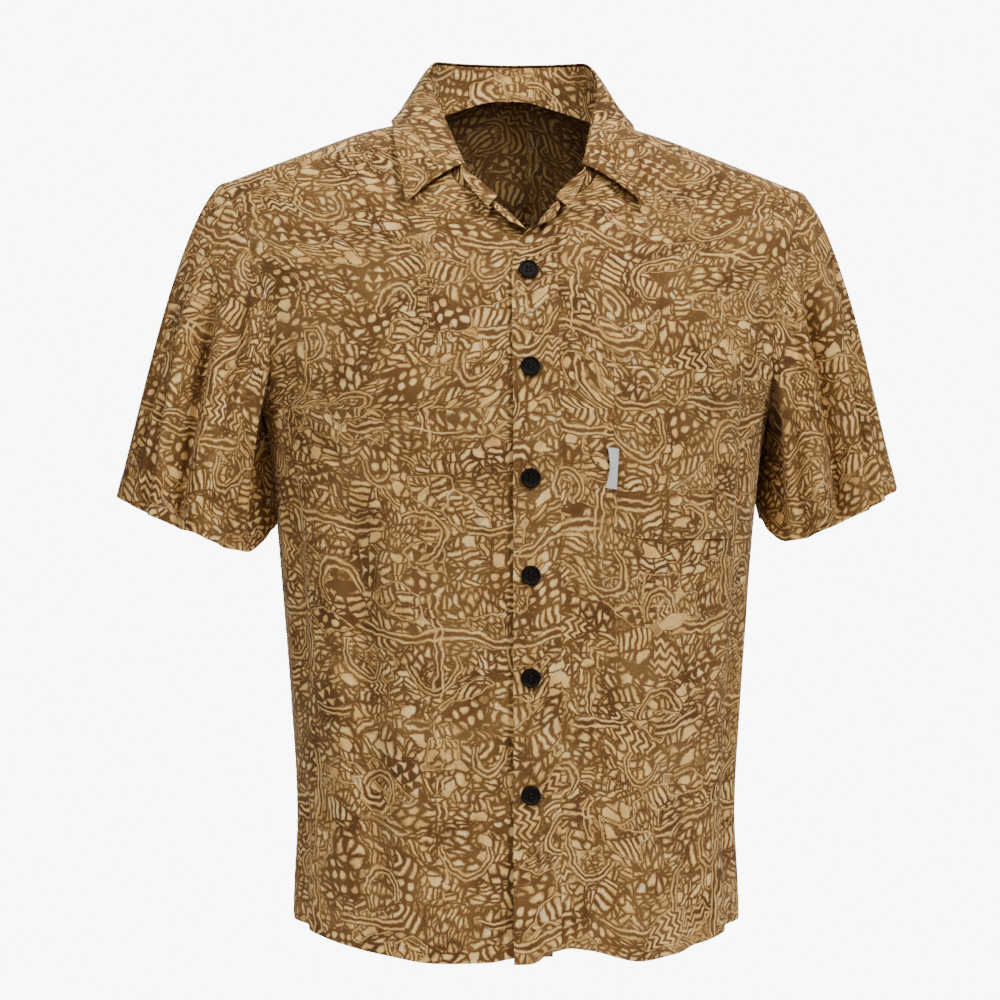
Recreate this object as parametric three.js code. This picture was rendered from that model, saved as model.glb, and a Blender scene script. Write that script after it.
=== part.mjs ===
// A short-sleeved hawaiian shirt in its worn form: two fronts with a front band, back, yoke, two
// sleeves, collar stand and leaf, chest pocket with a blank tab, and six buttons.
// Millimetres, +Z up, the front faces -Y and the wearer's left is +X. The origin is the centre
// of the base of the neck, level with the highest point of the shoulder seams.

import * as THREE from 'three';

// ---------------------------------------------------------------- driving sizes

const WALL = 1.2; // thickness of one cloth wall
const SEAM_GAP = 0.3; // between two pieces that are sewn edge to edge
const LAY_GAP = 0.3; // between a panel and a piece that lies on it
const UNDERARM_Z = -270; // height of the point where side seam and armhole meet
const SQUARENESS = 2.35; // 2 is an ellipse, more is boxier
const FRONT_CURVE = 1.15; // how the chest slopes up to the shoulder ridge
const BACK_CURVE = 0.75; // how the upper back rounds over to the ridge

// Horizontal sections of the body. A level below 0 is millimetres under the underarm, and one
// above 0 is degrees up the curve from the underarm, 0, to the shoulder ridge, 90.
const BODY = [
  { level: -500, halfWidth: 199, front: 146, back: 146 },
  { level: -430, halfWidth: 198.5, front: 145, back: 145 },
  { level: -360, halfWidth: 195.5, front: 143, back: 142 },
  { level: -260, halfWidth: 201, front: 142, back: 140 },
  { level: -170, halfWidth: 208, front: 142, back: 140 },
  { level: -80, halfWidth: 216, front: 141, back: 142 },
  { level: 0, halfWidth: 228, front: 140, back: 145 },
  { level: 15, halfWidth: 248, front: 140, back: 146 },
  { level: 30, halfWidth: 258, front: 140, back: 146 },
  { level: 47, halfWidth: 268, front: 140, back: 146 },
  { level: 70, halfWidth: 276, front: 140, back: 146 },
  { level: 90, halfWidth: 282, front: 140, back: 146 },
];

// The shoulder ridge, a straight slope from the side of the neck to the sleeve.
const RIDGE = {
  neckHalfWidth: 80,
  neckHeight: -4,
  slope: 0.385,
  rounding: 30,
  napeRise: 28,
  napeHalfWidth: 150,
  rightLift: 8.5,
  leftLift: 3.5,
};

// Half width of the shirt at the armhole seam, by level.
const ARMHOLE = [
  { level: 0, x: 228 },
  { level: 7, x: 224 },
  { level: 15, x: 222 },
  { level: 30, x: 226 },
  { level: 45, x: 240 },
  { level: 60, x: 250 },
  { level: 75, x: 257 },
  { level: 90, x: 260 },
];
const RIGHT_TIP_SHIFT = 5; // the right shoulder point lies this much further out

// Front opening by level: the crease along which each front turns out (x away from the centre
// line on its own side), the cloth beyond the crease, and how far it curls (0 flat, 1 rolled).
const OPENING_RIGHT = [
  { level: -480, crease: -1, strip: 18, curl: 0 },
  { level: 24, crease: -1, strip: 18, curl: 0 },
  { level: 27.5, crease: -1, strip: 17, curl: 0 },
  { level: 29.5, crease: -1, strip: 14, curl: 0 },
  { level: 32, crease: 0, strip: 10, curl: 0 },
  { level: 34, crease: 1.5, strip: 6, curl: 0 },
  { level: 35, crease: 3, strip: 5, curl: 0 },
  { level: 36, crease: 6, strip: 10, curl: 0.8 },
  { level: 37.5, crease: 10, strip: 20, curl: 1 },
  { level: 39, crease: 15.5, strip: 22, curl: 1 },
  { level: 40.5, crease: 21.5, strip: 20, curl: 1 },
  { level: 42, crease: 28, strip: 12, curl: 1 },
  { level: 44, crease: 37, strip: 2, curl: 1 },
  { level: 46, crease: 46, strip: 0.6, curl: 0.1 },
  { level: 50, crease: 60, strip: 0.6, curl: 0 },
  { level: 58, crease: 71, strip: 0.6, curl: 0 },
  { level: 68, crease: 79, strip: 0.6, curl: 0 },
  { level: 77, crease: 84, strip: 0.6, curl: 0 },
];
const OPENING_LEFT = [
  { level: -480, crease: -1, strip: 14, curl: 0 },
  { level: 24, crease: -1, strip: 14, curl: 0 },
  { level: 27.5, crease: -0.5, strip: 14, curl: 0 },
  { level: 29.5, crease: 0.5, strip: 14, curl: 0 },
  { level: 32, crease: 3.5, strip: 14, curl: 0 },
  { level: 34, crease: 7.5, strip: 14, curl: 0.1 },
  { level: 36, crease: 11.5, strip: 15, curl: 0.5 },
  { level: 37.5, crease: 14, strip: 18, curl: 1 },
  { level: 39, crease: 18, strip: 20, curl: 1 },
  { level: 40.5, crease: 23, strip: 18, curl: 1 },
  { level: 42, crease: 28, strip: 12, curl: 1 },
  { level: 44, crease: 37, strip: 2, curl: 1 },
  { level: 46, crease: 46, strip: 0.6, curl: 0.1 },
  { level: 50, crease: 60, strip: 0.6, curl: 0 },
  { level: 58, crease: 71, strip: 0.6, curl: 0 },
  { level: 68, crease: 79, strip: 0.6, curl: 0 },
  { level: 77, crease: 84, strip: 0.6, curl: 0 },
];
const CURL_RADIUS = 4;
const CURL_LIMIT = 155; // degrees
const TUCK = { depth: 2.3, fromX: -48, toX: -20 }; // the right front under the left one
const FRONT_SEAM = { neckLevel: 77, armLevel: 66 }; // yoke seam in front of the ridge
const BACK_SEAM_Z = -95; // yoke seam across the back

// Lower edge, by degrees round the body from the centre front, the wearer's left positive.
const HEM_RIGHT = [
  { around: 0, z: -742 },
  { around: 8, z: -747 },
  { around: 20, z: -748 },
  { around: 35, z: -742 },
  { around: 55, z: -733 },
  { around: 75, z: -723 },
  { around: 90, z: -719 },
];
const HEM_LEFT = [
  { around: 0, z: -748 },
  { around: 5, z: -741 },
  { around: 12, z: -734 },
  { around: 25, z: -751 },
  { around: 35, z: -745 },
  { around: 55, z: -733 },
  { around: 75, z: -723 },
  { around: 90, z: -719 },
];
const HEM_BACK = [
  { around: 90, z: -719 },
  { around: 110, z: -731 },
  { around: 140, z: -746 },
  { around: 180, z: -750 },
];

// Long soft folds of the body. Each runs down from a top to a bottom height, drifts sideways by
// some degrees on the way, and is a trough with a low ridge on each side.
const BODY_FOLDS = [
  { around: -36, drift: 2, top: -330, bottom: -680, width: 17, depth: 5 },
  { around: 18, drift: 3, top: -400, bottom: -800, width: 15, depth: 6 },
  { around: -66, drift: -5, top: -300, bottom: -560, width: 15, depth: 4 },
  { around: 64, drift: 4, top: -390, bottom: -800, width: 16, depth: 4.5 },
  { around: -78, drift: 6, top: -560, bottom: -800, width: 14, depth: 4 },
  { around: 118, drift: 8, top: -240, bottom: -620, width: 17, depth: 6 },
  { around: 150, drift: 5, top: -330, bottom: -800, width: 18, depth: 6 },
  { around: 172, drift: -3, top: -430, bottom: -700, width: 15, depth: 4 },
  { around: 205, drift: -4, top: -300, bottom: -800, width: 19, depth: 7 },
  { around: 238, drift: -7, top: -230, bottom: -600, width: 16, depth: 6 },
];
const FOLD_FADE = 70; // length over which a fold fades in and out
const FOLD_RIDGE = { height: 0.4, away: 1.95 }; // beside a trough, in its depth and its widths
const GIRTH_PER_DEGREE = 3.4; // length of cloth in one degree round the body

// Sleeves: the hem's oval by degrees round the arm (0 outside, 90 front, 180 towards the body).
const SLEEVE_HEM = [
  { around: 0, z: -337 },
  { around: 30, z: -342 },
  { around: 60, z: -355 },
  { around: 90, z: -369 },
  { around: 115, z: -381 },
  { around: 138, z: -386 },
  { around: 160, z: -377 },
  { around: 180, z: -366 },
  { around: 225, z: -366 },
  { around: 270, z: -354 },
  { around: 320, z: -341 },
  { around: 360, z: -337 },
];
const SLEEVE = { innerX: 223, halfDepth: 62, centreY: -4 };
const ARMHOLE_MIDDLE = { x: 240, z: -175 };

// How a sleeve leaves the armhole, under the arm and over the shoulder, and how it arrives at
// its hem: its direction, outwards and down, and how stiffly it keeps to it.
const SLEEVE_LEAVES = {
  under: { out: 0.5, down: 0.86, pull: 70 },
  over: { out: 0.75, down: 0.66, pull: 150 },
};
const SLEEVE_ARRIVES = { out: 0.26, down: 0.965, pullUnder: 95, pullOver: 250 };
const SLEEVE_SIDES = {
  left: { side: 1, outerX: 346, drop: 0 },
  right: { side: -1, outerX: 357, drop: 9 },
};

// Folds along a sleeve: degrees round the arm at the shoulder and at the hem, where along the
// sleeve (0 armhole, 1 hem) it starts and ends, and its width in degrees and depth.
const SLEEVE_FOLD_FADE = 0.25; // of the sleeve's length
const SLEEVE_FOLDS = {
  right: [
    { armAround: 42, hemAround: 74, start: 0.2, end: 1.4, width: 9, depth: 13 },
    { armAround: 118, hemAround: 112, start: 0.1, end: 0.75, width: 11, depth: 6 },
    { armAround: 235, hemAround: 250, start: 0.1, end: 0.9, width: 12, depth: 9 },
    { armAround: 300, hemAround: 292, start: 0.25, end: 1.4, width: 10, depth: 8 },
  ],
  left: [
    { armAround: 46, hemAround: 70, start: 0.2, end: 0.78, width: 9, depth: 11 },
    { armAround: 120, hemAround: 118, start: 0.1, end: 0.85, width: 11, depth: 6 },
    { armAround: 228, hemAround: 244, start: 0.1, end: 0.95, width: 12, depth: 9 },
    { armAround: 305, hemAround: 288, start: 0.2, end: 0.8, width: 10, depth: 8 },
  ],
};

// Collar, from the back of the neck (station 0) to its front end, for the left half. The stand
// is sewn to the neck edge at a turn of the yoke or a level of the front, rises to its crest,
// and the leaf falls from there to an edge that lies over the shoulders.
const COLLAR = [
  { station: 0, turn: 0.5, level: 77, crestX: 0, crestY: 88, crestZ: 50 },
  { station: 0.15, turn: 0.4, level: 77, crestX: 42, crestY: 79, crestZ: 50 },
  { station: 0.3, turn: 0.27, level: 77, crestX: 67, crestY: 50, crestZ: 48 },
  { station: 0.42, turn: 0.12, level: 77, crestX: 76, crestY: 20, crestZ: 29 },
  { station: 0.52, turn: 0, level: 77, crestX: 73, crestY: -2, crestZ: 10 },
  { station: 0.64, turn: 0, level: 72, crestX: 67, crestY: -22, crestZ: -7 },
  { station: 0.8, turn: 0, level: 61, crestX: 60, crestY: -50, crestZ: -31 },
  { station: 1, turn: 0, level: 50.5, crestX: 52, crestY: -80, crestZ: -56 },
];
// Edge of the leaf: from the centre line, in degrees over the ridge, and above the cloth.
const LEAF_EDGE = [
  { station: 0, x: 0, over: -34, lift: 5 },
  { station: 0.15, x: 52, over: -31, lift: 5 },
  { station: 0.3, x: 90, over: -20, lift: 5 },
  { station: 0.42, x: 104, over: -6, lift: 5 },
  { station: 0.52, x: 107, over: 5, lift: 5 },
  { station: 0.64, x: 106, over: 20, lift: 6 },
  { station: 0.8, x: 106, over: 35, lift: 8 },
  { station: 1, x: 104, over: 44.8, lift: 11 },
];
const LEAF_SPREAD = { left: -3, right: 5 }; // the leaf lies a little to the wearer's right
const STAND_INSET = 3; // the foot of the stand inside the neck edge
const FOLD_RISE = 3; // the leaf's fold above the top of the stand
const LEAF_ROLL = 8; // how far the leaf rolls outwards at its fold
const LEAF_BELLY = { share: 0.45, out: 7 }; // where the leaf swells, and how far
const NECK_AXIS_Y = -20;

// Front end of the stand beyond the leaf. The crest runs on down to the opening, and the cloth
// past it is turned outwards by a distance that grows towards its end.
const STAND_CREST = [
  { station: 0.9, level: 55, left: 56, right: 56, y: -66, z: -44 },
  { station: 1, level: 50.5, left: 51, right: 52, y: -80, z: -56 },
  { station: 1.12, level: 46.5, left: 39, right: 40, y: -93, z: -69 },
  { station: 1.26, level: 43.5, left: 25, right: 25, y: -106, z: -83 },
];
const STAND_TURNED = [
  { station: 0.9, x: 0, y: 0, z: 0 },
  { station: 1, x: 3, y: -4, z: -4 },
  { station: 1.12, x: 8, y: -6, z: -8 },
  { station: 1.26, x: 10, y: -8, z: -11 },
];

const PLACKET = { inner: 21, topLevel: 38 };
const POCKET = { innerX: 73, outerX: 193, topZ: -235, bottomZ: -383, gape: 4, ease: 0.4 };
const POCKET_CORNER = { rise: 9, sharpness: 7 }; // the rounded lower corners
const TAB = { topZ: -304, bottomZ: -339, share: 0.055 };
const BUTTON = { radius: 8.6, thickness: 3, rim: 1.3, well: 0.9 };
const BUTTON_HEIGHTS = [-150, -234, -330, -414, -502, -603];

const CLOTH = { color: 0x9c7440, roughness: 0.86, metalness: 0 };
const DARK_BUTTON = { color: 0x17110d, roughness: 0.45, metalness: 0 };
const WOVEN_TAB = { color: 0xd9d5cc, roughness: 0.8, metalness: 0 };

// ---------------------------------------------------------------- small tools

const DEGREE = Math.PI / 180;
const POWER = 2 / SQUARENESS;

function mix(a, b, t) {
  return a + (b - a) * t;
}

function smoothstep(from, to, value) {
  const t = Math.min(1, Math.max(0, (value - from) / (to - from)));
  return t * t * (3 - 2 * t);
}

// Slope of a smooth curve at one row of a table, flat where the column turns back.
function rowSlope(rows, key, column, index) {
  if (index === 0 || index === rows.length - 1) {
    return 0;
  }
  const before = (rows[index][column] - rows[index - 1][column]) / (rows[index][key] - rows[index - 1][key]);
  const after = (rows[index + 1][column] - rows[index][column]) / (rows[index + 1][key] - rows[index][key]);
  if (before * after <= 0) {
    return 0;
  }
  return (2 * before * after) / (before + after);
}

// A column of a table, read between its rows along a smooth curve that never overshoots.
function read(rows, key, at, column) {
  const last = rows.length - 1;
  if (at <= rows[0][key]) {
    return rows[0][column];
  }
  if (at >= rows[last][key]) {
    return rows[last][column];
  }
  const next = rows.findIndex((row) => row[key] > at);
  const low = rows[next - 1];
  const high = rows[next];
  const span = high[key] - low[key];
  const t = (at - low[key]) / span;
  const startSlope = rowSlope(rows, key, column, next - 1) * span;
  const endSlope = rowSlope(rows, key, column, next) * span;
  const h00 = (1 + 2 * t) * (1 - t) * (1 - t);
  const h10 = t * (1 - t) * (1 - t);
  const h01 = t * t * (3 - 2 * t);
  const h11 = t * t * (t - 1);
  return h00 * low[column] + h10 * startSlope + h01 * high[column] + h11 * endSlope;
}

// The shares 0 to 1 of a number of equal steps.
function steps(count) {
  return Array.from({ length: count + 1 }, (unused, index) => index / count);
}

// ---------------------------------------------------------------- body surface

// Height of the shoulder ridge. Behind it the cloth rises over the nape of the neck.
function ridgeHeight(x, atFront, level) {
  const side = Math.hypot(x, RIDGE.rounding);
  const slopeHeight = RIDGE.neckHeight - RIDGE.slope * (side - RIDGE.neckHalfWidth);
  const behind = atFront ? 0 : 1 - smoothstep(62, 88, level);
  const nape = RIDGE.napeRise * behind * (1 - smoothstep(0, RIDGE.napeHalfWidth, Math.abs(x)));
  const lift = (x < 0 ? RIDGE.rightLift : RIDGE.leftLift) * smoothstep(70, 150, Math.abs(x));
  return slopeHeight + nape + lift;
}

// Section of a fold, by the distance from its middle in fold widths.
function foldSection(distance) {
  const near = Math.exp(-((distance - FOLD_RIDGE.away) ** 2));
  const far = Math.exp(-((distance + FOLD_RIDGE.away) ** 2));
  return FOLD_RIDGE.height * (near + far) - Math.exp(-distance * distance);
}

// How far the folds push the cloth in (negative) or out at one place on the body.
function foldOffset(around, z) {
  const turn = around < -90 ? around + 360 : around;
  return BODY_FOLDS.reduce((total, fold) => {
    const along = (fold.top - z) / (fold.top - fold.bottom);
    const middle = fold.around + fold.drift * along;
    const distance = ((turn - middle) * GIRTH_PER_DEGREE) / fold.width;
    const starts = smoothstep(fold.top, fold.top - FOLD_FADE, z);
    const ends = smoothstep(fold.bottom, fold.bottom + FOLD_FADE, z);
    return total + fold.depth * starts * ends * foldSection(distance);
  }, 0);
}

// A point of the body's outer surface, by degrees round from the centre front and by level.
function bodyPoint(around, level) {
  const sine = Math.sin(around * DEGREE);
  const cosine = Math.cos(around * DEGREE);
  const atFront = cosine >= 0;
  const halfWidth = read(BODY, 'level', level, 'halfWidth');
  const depth = read(BODY, 'level', level, atFront ? 'front' : 'back');
  const curve = atFront ? FRONT_CURVE : BACK_CURVE;
  const acrossShare = Math.sign(sine) * Math.abs(sine) ** POWER;
  const depthShare = Math.abs(cosine) ** POWER;
  const x = halfWidth * acrossShare;
  const climb = Math.max(0, level) * DEGREE;
  const reach = depth * depthShare * Math.max(0, Math.cos(climb)) ** curve;
  const fullRise = ridgeHeight(x, atFront, level) - UNDERARM_Z;
  const z = UNDERARM_Z + (level > 0 ? fullRise * Math.sin(climb) ** curve : level);
  const push = foldOffset(around, z);
  const outX = (Math.sign(sine) * Math.abs(acrossShare) ** (SQUARENESS - 1)) / halfWidth;
  const outY = ((atFront ? -1 : 1) * depthShare ** (SQUARENESS - 1)) / depth;
  const length = Math.hypot(outX, outY);
  return new THREE.Vector3(
    x + (push * outX) / length,
    (atFront ? -reach : reach) + (push * outY) / length,
    z,
  );
}

// Degrees round from the centre front for a given distance from the centre line.
function aroundAt(x, level, atFront) {
  const share = Math.min(1, Math.abs(x) / read(BODY, 'level', level, 'halfWidth'));
  const angle = Math.asin(share ** (1 / POWER)) / DEGREE;
  return (x < 0 ? -1 : 1) * (atFront ? angle : 180 - angle);
}

// Unit normal of a surface given by a function of two numbers, pointing away from the middle.
function outwardNormal(pointAt, u, v, stepU, stepV, middle) {
  const alongU = pointAt(u + stepU, v).sub(pointAt(u - stepU, v));
  const alongV = pointAt(u, v + stepV).sub(pointAt(u, v - stepV));
  const normal = alongU.cross(alongV).normalize();
  const outward = pointAt(u, v).sub(middle);
  return normal.dot(outward) < 0 ? normal.negate() : normal;
}

// A place well inside the body for a point at height z.
function bodyMiddle(z) {
  return new THREE.Vector3(0, 0, Math.min(z, UNDERARM_Z + 60));
}

function bodySurface(around, level) {
  const point = bodyPoint(around, level);
  const normal = outwardNormal(bodyPoint, around, level, 0.1, 0.4, bodyMiddle(point.z));
  return { point, normal };
}

// The same surface over the shoulders, by distance from the centre line and by degrees over the
// ridge: above 0 in front of it and below 0 behind it.
function shoulderPoint(x, over) {
  const level = 90 - Math.abs(over);
  return bodyPoint(aroundAt(x, level, over >= 0), level);
}

function shoulderSurface(x, over) {
  const point = shoulderPoint(x, over);
  const normal = outwardNormal(shoulderPoint, x, over, 0.5, 0.3, bodyMiddle(point.z));
  return { point, normal };
}

function armholeX(level, side) {
  const shift = side < 0 ? RIGHT_TIP_SHIFT * smoothstep(45, 90, level) : 0;
  return read(ARMHOLE, 'level', level, 'x') + shift;
}

// ---------------------------------------------------------------- cloth walls

// A closed wall between two grids of points, outer and inner. A ring joins its last column to
// its first.
function wallGeometry(outer, inner, isRing) {
  const rowCount = outer.length;
  const columnCount = outer[0].length;
  const positions = [...outer.flat(), ...inner.flat()].flatMap((point) => point.toArray());
  const innerStart = rowCount * columnCount;
  const indices = [];
  const quad = (a, b, c, d) => indices.push(a, b, c, a, c, d);
  const lastColumn = isRing ? columnCount : columnCount - 1;
  const at = (row, column) => row * columnCount + (column % columnCount);
  for (let row = 0; row < rowCount - 1; row += 1) {
    for (let column = 0; column < lastColumn; column += 1) {
      const a = at(row, column);
      const b = at(row, column + 1);
      const c = at(row + 1, column + 1);
      const d = at(row + 1, column);
      quad(a, b, c, d);
      quad(innerStart + d, innerStart + c, innerStart + b, innerStart + a);
    }
  }
  for (let column = 0; column < lastColumn; column += 1) {
    const first = [at(0, column), at(0, column + 1)];
    const last = [at(rowCount - 1, column), at(rowCount - 1, column + 1)];
    quad(first[1], first[0], innerStart + first[0], innerStart + first[1]);
    quad(last[0], last[1], innerStart + last[1], innerStart + last[0]);
  }
  if (!isRing) {
    for (let row = 0; row < rowCount - 1; row += 1) {
      const first = [at(row, 0), at(row + 1, 0)];
      const last = [at(row, columnCount - 1), at(row + 1, columnCount - 1)];
      quad(first[0], first[1], innerStart + first[1], innerStart + first[0]);
      quad(last[1], last[0], innerStart + last[0], innerStart + last[1]);
    }
  }
  const geometry = new THREE.BufferGeometry();
  geometry.setAttribute('position', new THREE.Float32BufferAttribute(positions, 3));
  geometry.setIndex(volumeOf(positions, indices) < 0 ? indices.reverse() : indices);
  geometry.computeVertexNormals();
  return geometry;
}

// Six times the volume that a list of triangles encloses, negative when they face inwards.
function volumeOf(positions, indices) {
  const corner = (index) => new THREE.Vector3().fromArray(positions, indices[index] * 3);
  let total = 0;
  for (let index = 0; index < indices.length; index += 3) {
    total += corner(index).dot(corner(index + 1).cross(corner(index + 2)));
  }
  return total;
}

// Draws the edges of a grid of surface samples back by half the seam gap.
function openSeams(grid) {
  const shrink = (edge, next) => {
    const back = next.point.clone().sub(edge.point).normalize();
    return { point: edge.point.clone().addScaledVector(back, SEAM_GAP / 2), normal: edge.normal };
  };
  const narrowed = grid.map((row) => {
    const last = row.length - 1;
    return row.map((sample, column) => {
      if (column === 0) {
        return shrink(sample, row[1]);
      }
      return column === last ? shrink(sample, row[last - 1]) : sample;
    });
  });
  const bottom = narrowed.length - 1;
  return narrowed.map((row, index) => {
    if (index === 0) {
      return row.map((sample, column) => shrink(sample, narrowed[1][column]));
    }
    if (index === bottom) {
      return row.map((sample, column) => shrink(sample, narrowed[bottom - 1][column]));
    }
    return row;
  });
}

// A cloth wall whose outer face stands `lift` above the surface samples.
function clothGeometry(grid, lift = 0, isRing = false) {
  const raised = (height) => grid.map((row) => row.map((sample) => {
    return sample.point.clone().addScaledVector(sample.normal, height);
  }));
  return wallGeometry(raised(lift), raised(lift - WALL), isRing);
}

const shirt = new THREE.Group();

function addPiece(name, geometry, look) {
  const mesh = new THREE.Mesh(geometry, new THREE.MeshStandardMaterial(look));
  mesh.name = name;
  shirt.add(mesh);
  return mesh;
}

// ---------------------------------------------------------------- fronts

const FRONT_SIDES = {
  left: { side: 1, hem: HEM_LEFT, opening: OPENING_LEFT },
  right: { side: -1, hem: HEM_RIGHT, opening: OPENING_RIGHT },
};
const BODY_ROWS = 13; // from the hem to the underarm
const CHEST_LEVELS = [5, 11, 17, 22, 27, 29.5, 32, 34, 36, 38, 39.5, 41, 45, 51, 58, 67, 77];
const PANEL_COLUMNS = 10;
const STRIP_SHARES = [1, 0.8, 0.6, 0.4, 0.2];
const BAND_SHARES = [0, 0.5, 1];

// The right front runs under the left one along the opening.
function tuckDepth(x) {
  return TUCK.depth * smoothstep(TUCK.fromX, TUCK.toX, x);
}

// Degrees round and level of a front at one share of its width, 0 at the crease, 1 at the side.
function frontPlace(front, rowLevel, share) {
  const seamTilt = (FRONT_SEAM.armLevel - FRONT_SEAM.neckLevel) / FRONT_SEAM.neckLevel;
  const creaseX = front.side * read(front.opening, 'level', rowLevel, 'crease');
  const from = aroundAt(creaseX, rowLevel, true);
  if (rowLevel <= 0) {
    return { around: mix(from, front.side * 90, share), level: rowLevel };
  }
  const level = rowLevel * (1 + seamTilt * share);
  const to = aroundAt(front.side * armholeX(level, front.side), level, true);
  return { around: mix(from, to, share), level };
}

// A sample of a front's surface. The row is a level above the underarm, or a share of the way
// up from the hem, 0, to the underarm, 1, less one.
function frontSample(front, row, share) {
  const hemShare = Math.max(0, -row);
  let place = frontPlace(front, Math.max(0, row), share);
  if (row < 0) {
    const hemLevel = read(front.hem, 'around', 90 * share, 'z') - UNDERARM_Z;
    place = frontPlace(front, hemShare * hemLevel, share);
  }
  const sample = bodySurface(place.around, place.level);
  if (front.side < 0) {
    sample.point.addScaledVector(sample.normal, -tuckDepth(sample.point.x));
  }
  return { ...sample, level: place.level };
}

// The cloth beyond the crease, `distance` away from it, curled outwards.
function stripSample(front, crease, distance) {
  const curl = read(front.opening, 'level', crease.level, 'curl');
  const towards = new THREE.Vector3(-front.side, 0, 0);
  towards.addScaledVector(crease.normal, -towards.dot(crease.normal)).normalize();
  const radius = CURL_RADIUS / Math.max(curl, 0.001);
  const angle = Math.min(distance / radius, CURL_LIMIT * DEGREE);
  const straight = distance - angle * radius;
  const point = crease.point.clone();
  point.addScaledVector(towards, radius * Math.sin(angle) + straight * Math.cos(angle));
  point.addScaledVector(crease.normal, radius * (1 - Math.cos(angle)) + straight * Math.sin(angle));
  const normal = crease.normal.clone().multiplyScalar(Math.cos(angle));
  normal.addScaledVector(towards, -Math.sin(angle));
  return { point, normal };
}

function frontRows() {
  return [...steps(BODY_ROWS).slice(0, -1).map((share) => share - 1), 0, ...CHEST_LEVELS];
}

// The part of one row that the front band covers: beyond the crease, and beside it.
function bandSamples(front, row) {
  const crease = frontSample(front, row, 0);
  const stripWidth = read(front.opening, 'level', crease.level, 'strip');
  const strip = STRIP_SHARES.map((share) => stripSample(front, crease, share * stripWidth));
  const bandShare = bandEdge(front, row);
  const band = BAND_SHARES.map((share) => frontSample(front, row, share * bandShare));
  return [...strip, ...band];
}

// Share of a front's width at the inner edge of the band.
function bandEdge(front, row) {
  const probe = 0.2;
  const width = frontSample(front, row, probe).point.distanceTo(frontSample(front, row, 0).point);
  return Math.min(probe, ((PLACKET.inner + 1) * probe) / width);
}

function frontGrid(front) {
  return frontRows().map((row) => {
    const bandShare = bandEdge(front, row);
    const panel = steps(PANEL_COLUMNS).slice(1);
    const rest = panel.map((share) => frontSample(front, row, mix(bandShare, 1, share)));
    return [...bandSamples(front, row), ...rest];
  });
}

addPiece('front_right', clothGeometry(openSeams(frontGrid(FRONT_SIDES.right))), CLOTH);
addPiece('front_left', clothGeometry(openSeams(frontGrid(FRONT_SIDES.left))), CLOTH);

// ---------------------------------------------------------------- front band

// The band lies on the left front, from its edge to the inner row of stitching.
function placketGrid() {
  const rows = frontRows().filter((row) => row <= PLACKET.topLevel);
  return rows.map((row) => bandSamples(FRONT_SIDES.left, row));
}

addPiece('placket', clothGeometry(placketGrid(), WALL + LAY_GAP), CLOTH);

// ---------------------------------------------------------------- back and yoke

const BACK_COLUMNS = 22;
const BACK_CHEST_ROWS = 11;

// Level of the yoke seam at the armhole, found by halving the range it lies in.
function backSeamEnd(side) {
  let low = 0;
  let high = 90;
  for (let turn = 0; turn < 40; turn += 1) {
    const level = (low + high) / 2;
    const x = side * armholeX(level, side);
    if (bodyPoint(aroundAt(x, level, false), level).z < BACK_SEAM_Z) {
      low = level;
    } else {
      high = level;
    }
  }
  return (low + high) / 2;
}

// Level of the yoke seam at a share of the half width, 0 at the centre back.
function backSeamLevel(side, share) {
  const endLevel = backSeamEnd(side);
  const x = side * armholeX(endLevel, side) * share;
  const climb = (BACK_SEAM_Z - UNDERARM_Z) / (ridgeHeight(x, false, 0) - UNDERARM_Z);
  return share === 1 ? endLevel : Math.asin(climb ** (1 / BACK_CURVE)) / DEGREE;
}

// Degrees round from the centre front of a share of the back's half width.
function backAround(side, level, share) {
  if (level <= 0) {
    return side * (180 - 90 * share);
  }
  const end = aroundAt(side * armholeX(level, side), level, false);
  return side * (180 - (180 - Math.abs(end)) * share);
}

// The row counts down from the underarm as for the fronts, and 0 to 1 is underarm to yoke seam.
function backSample(row, across) {
  const side = across < 0 ? -1 : 1;
  const share = Math.abs(across);
  const hemLevel = read(HEM_BACK, 'around', 180 - 90 * share, 'z') - UNDERARM_Z;
  const level = row < 0 ? -row * hemLevel : row * backSeamLevel(side, share);
  return bodySurface(backAround(side, level, share), level);
}

function backGrid() {
  const rows = [...steps(BODY_ROWS).slice(0, -1).map((share) => share - 1), ...steps(BACK_CHEST_ROWS)];
  return rows.map((row) => steps(BACK_COLUMNS).map((share) => backSample(row, 2 * share - 1)));
}

addPiece('back', clothGeometry(openSeams(backGrid())), CLOTH);

// Neck edge of the yoke, from the front seam (turn 0) to the centre back (turn 0.5).
const YOKE_NECK = [
  { turn: 0, x: 84, over: 13 },
  { turn: 0.1, x: 85, over: 4 },
  { turn: 0.2, x: 82, over: -6 },
  { turn: 0.3, x: 71, over: -14 },
  { turn: 0.4, x: 42, over: -23 },
  { turn: 0.5, x: 0, over: -27 },
];
const YOKE_ARM_TURN = 0.28; // share of the outer edge that is armhole, at each end
const YOKE_ARM_COLUMNS = 8;
const YOKE_ROWS = 7;

// Outer edge of the yoke: the armhole over the shoulder point, then the seam across the back.
function yokeOuter(turn, side) {
  if (turn <= YOKE_ARM_TURN) {
    const endOver = backSeamEnd(side) - 90;
    const over = mix(90 - FRONT_SEAM.armLevel, endOver, turn / YOKE_ARM_TURN);
    return { x: armholeX(90 - Math.abs(over), side), over };
  }
  const share = 1 - (turn - YOKE_ARM_TURN) / (0.5 - YOKE_ARM_TURN);
  const level = backSeamLevel(side, share);
  const around = backAround(side, level, share);
  return { x: Math.abs(bodyPoint(around, level).x), over: level - 90 };
}

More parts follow.
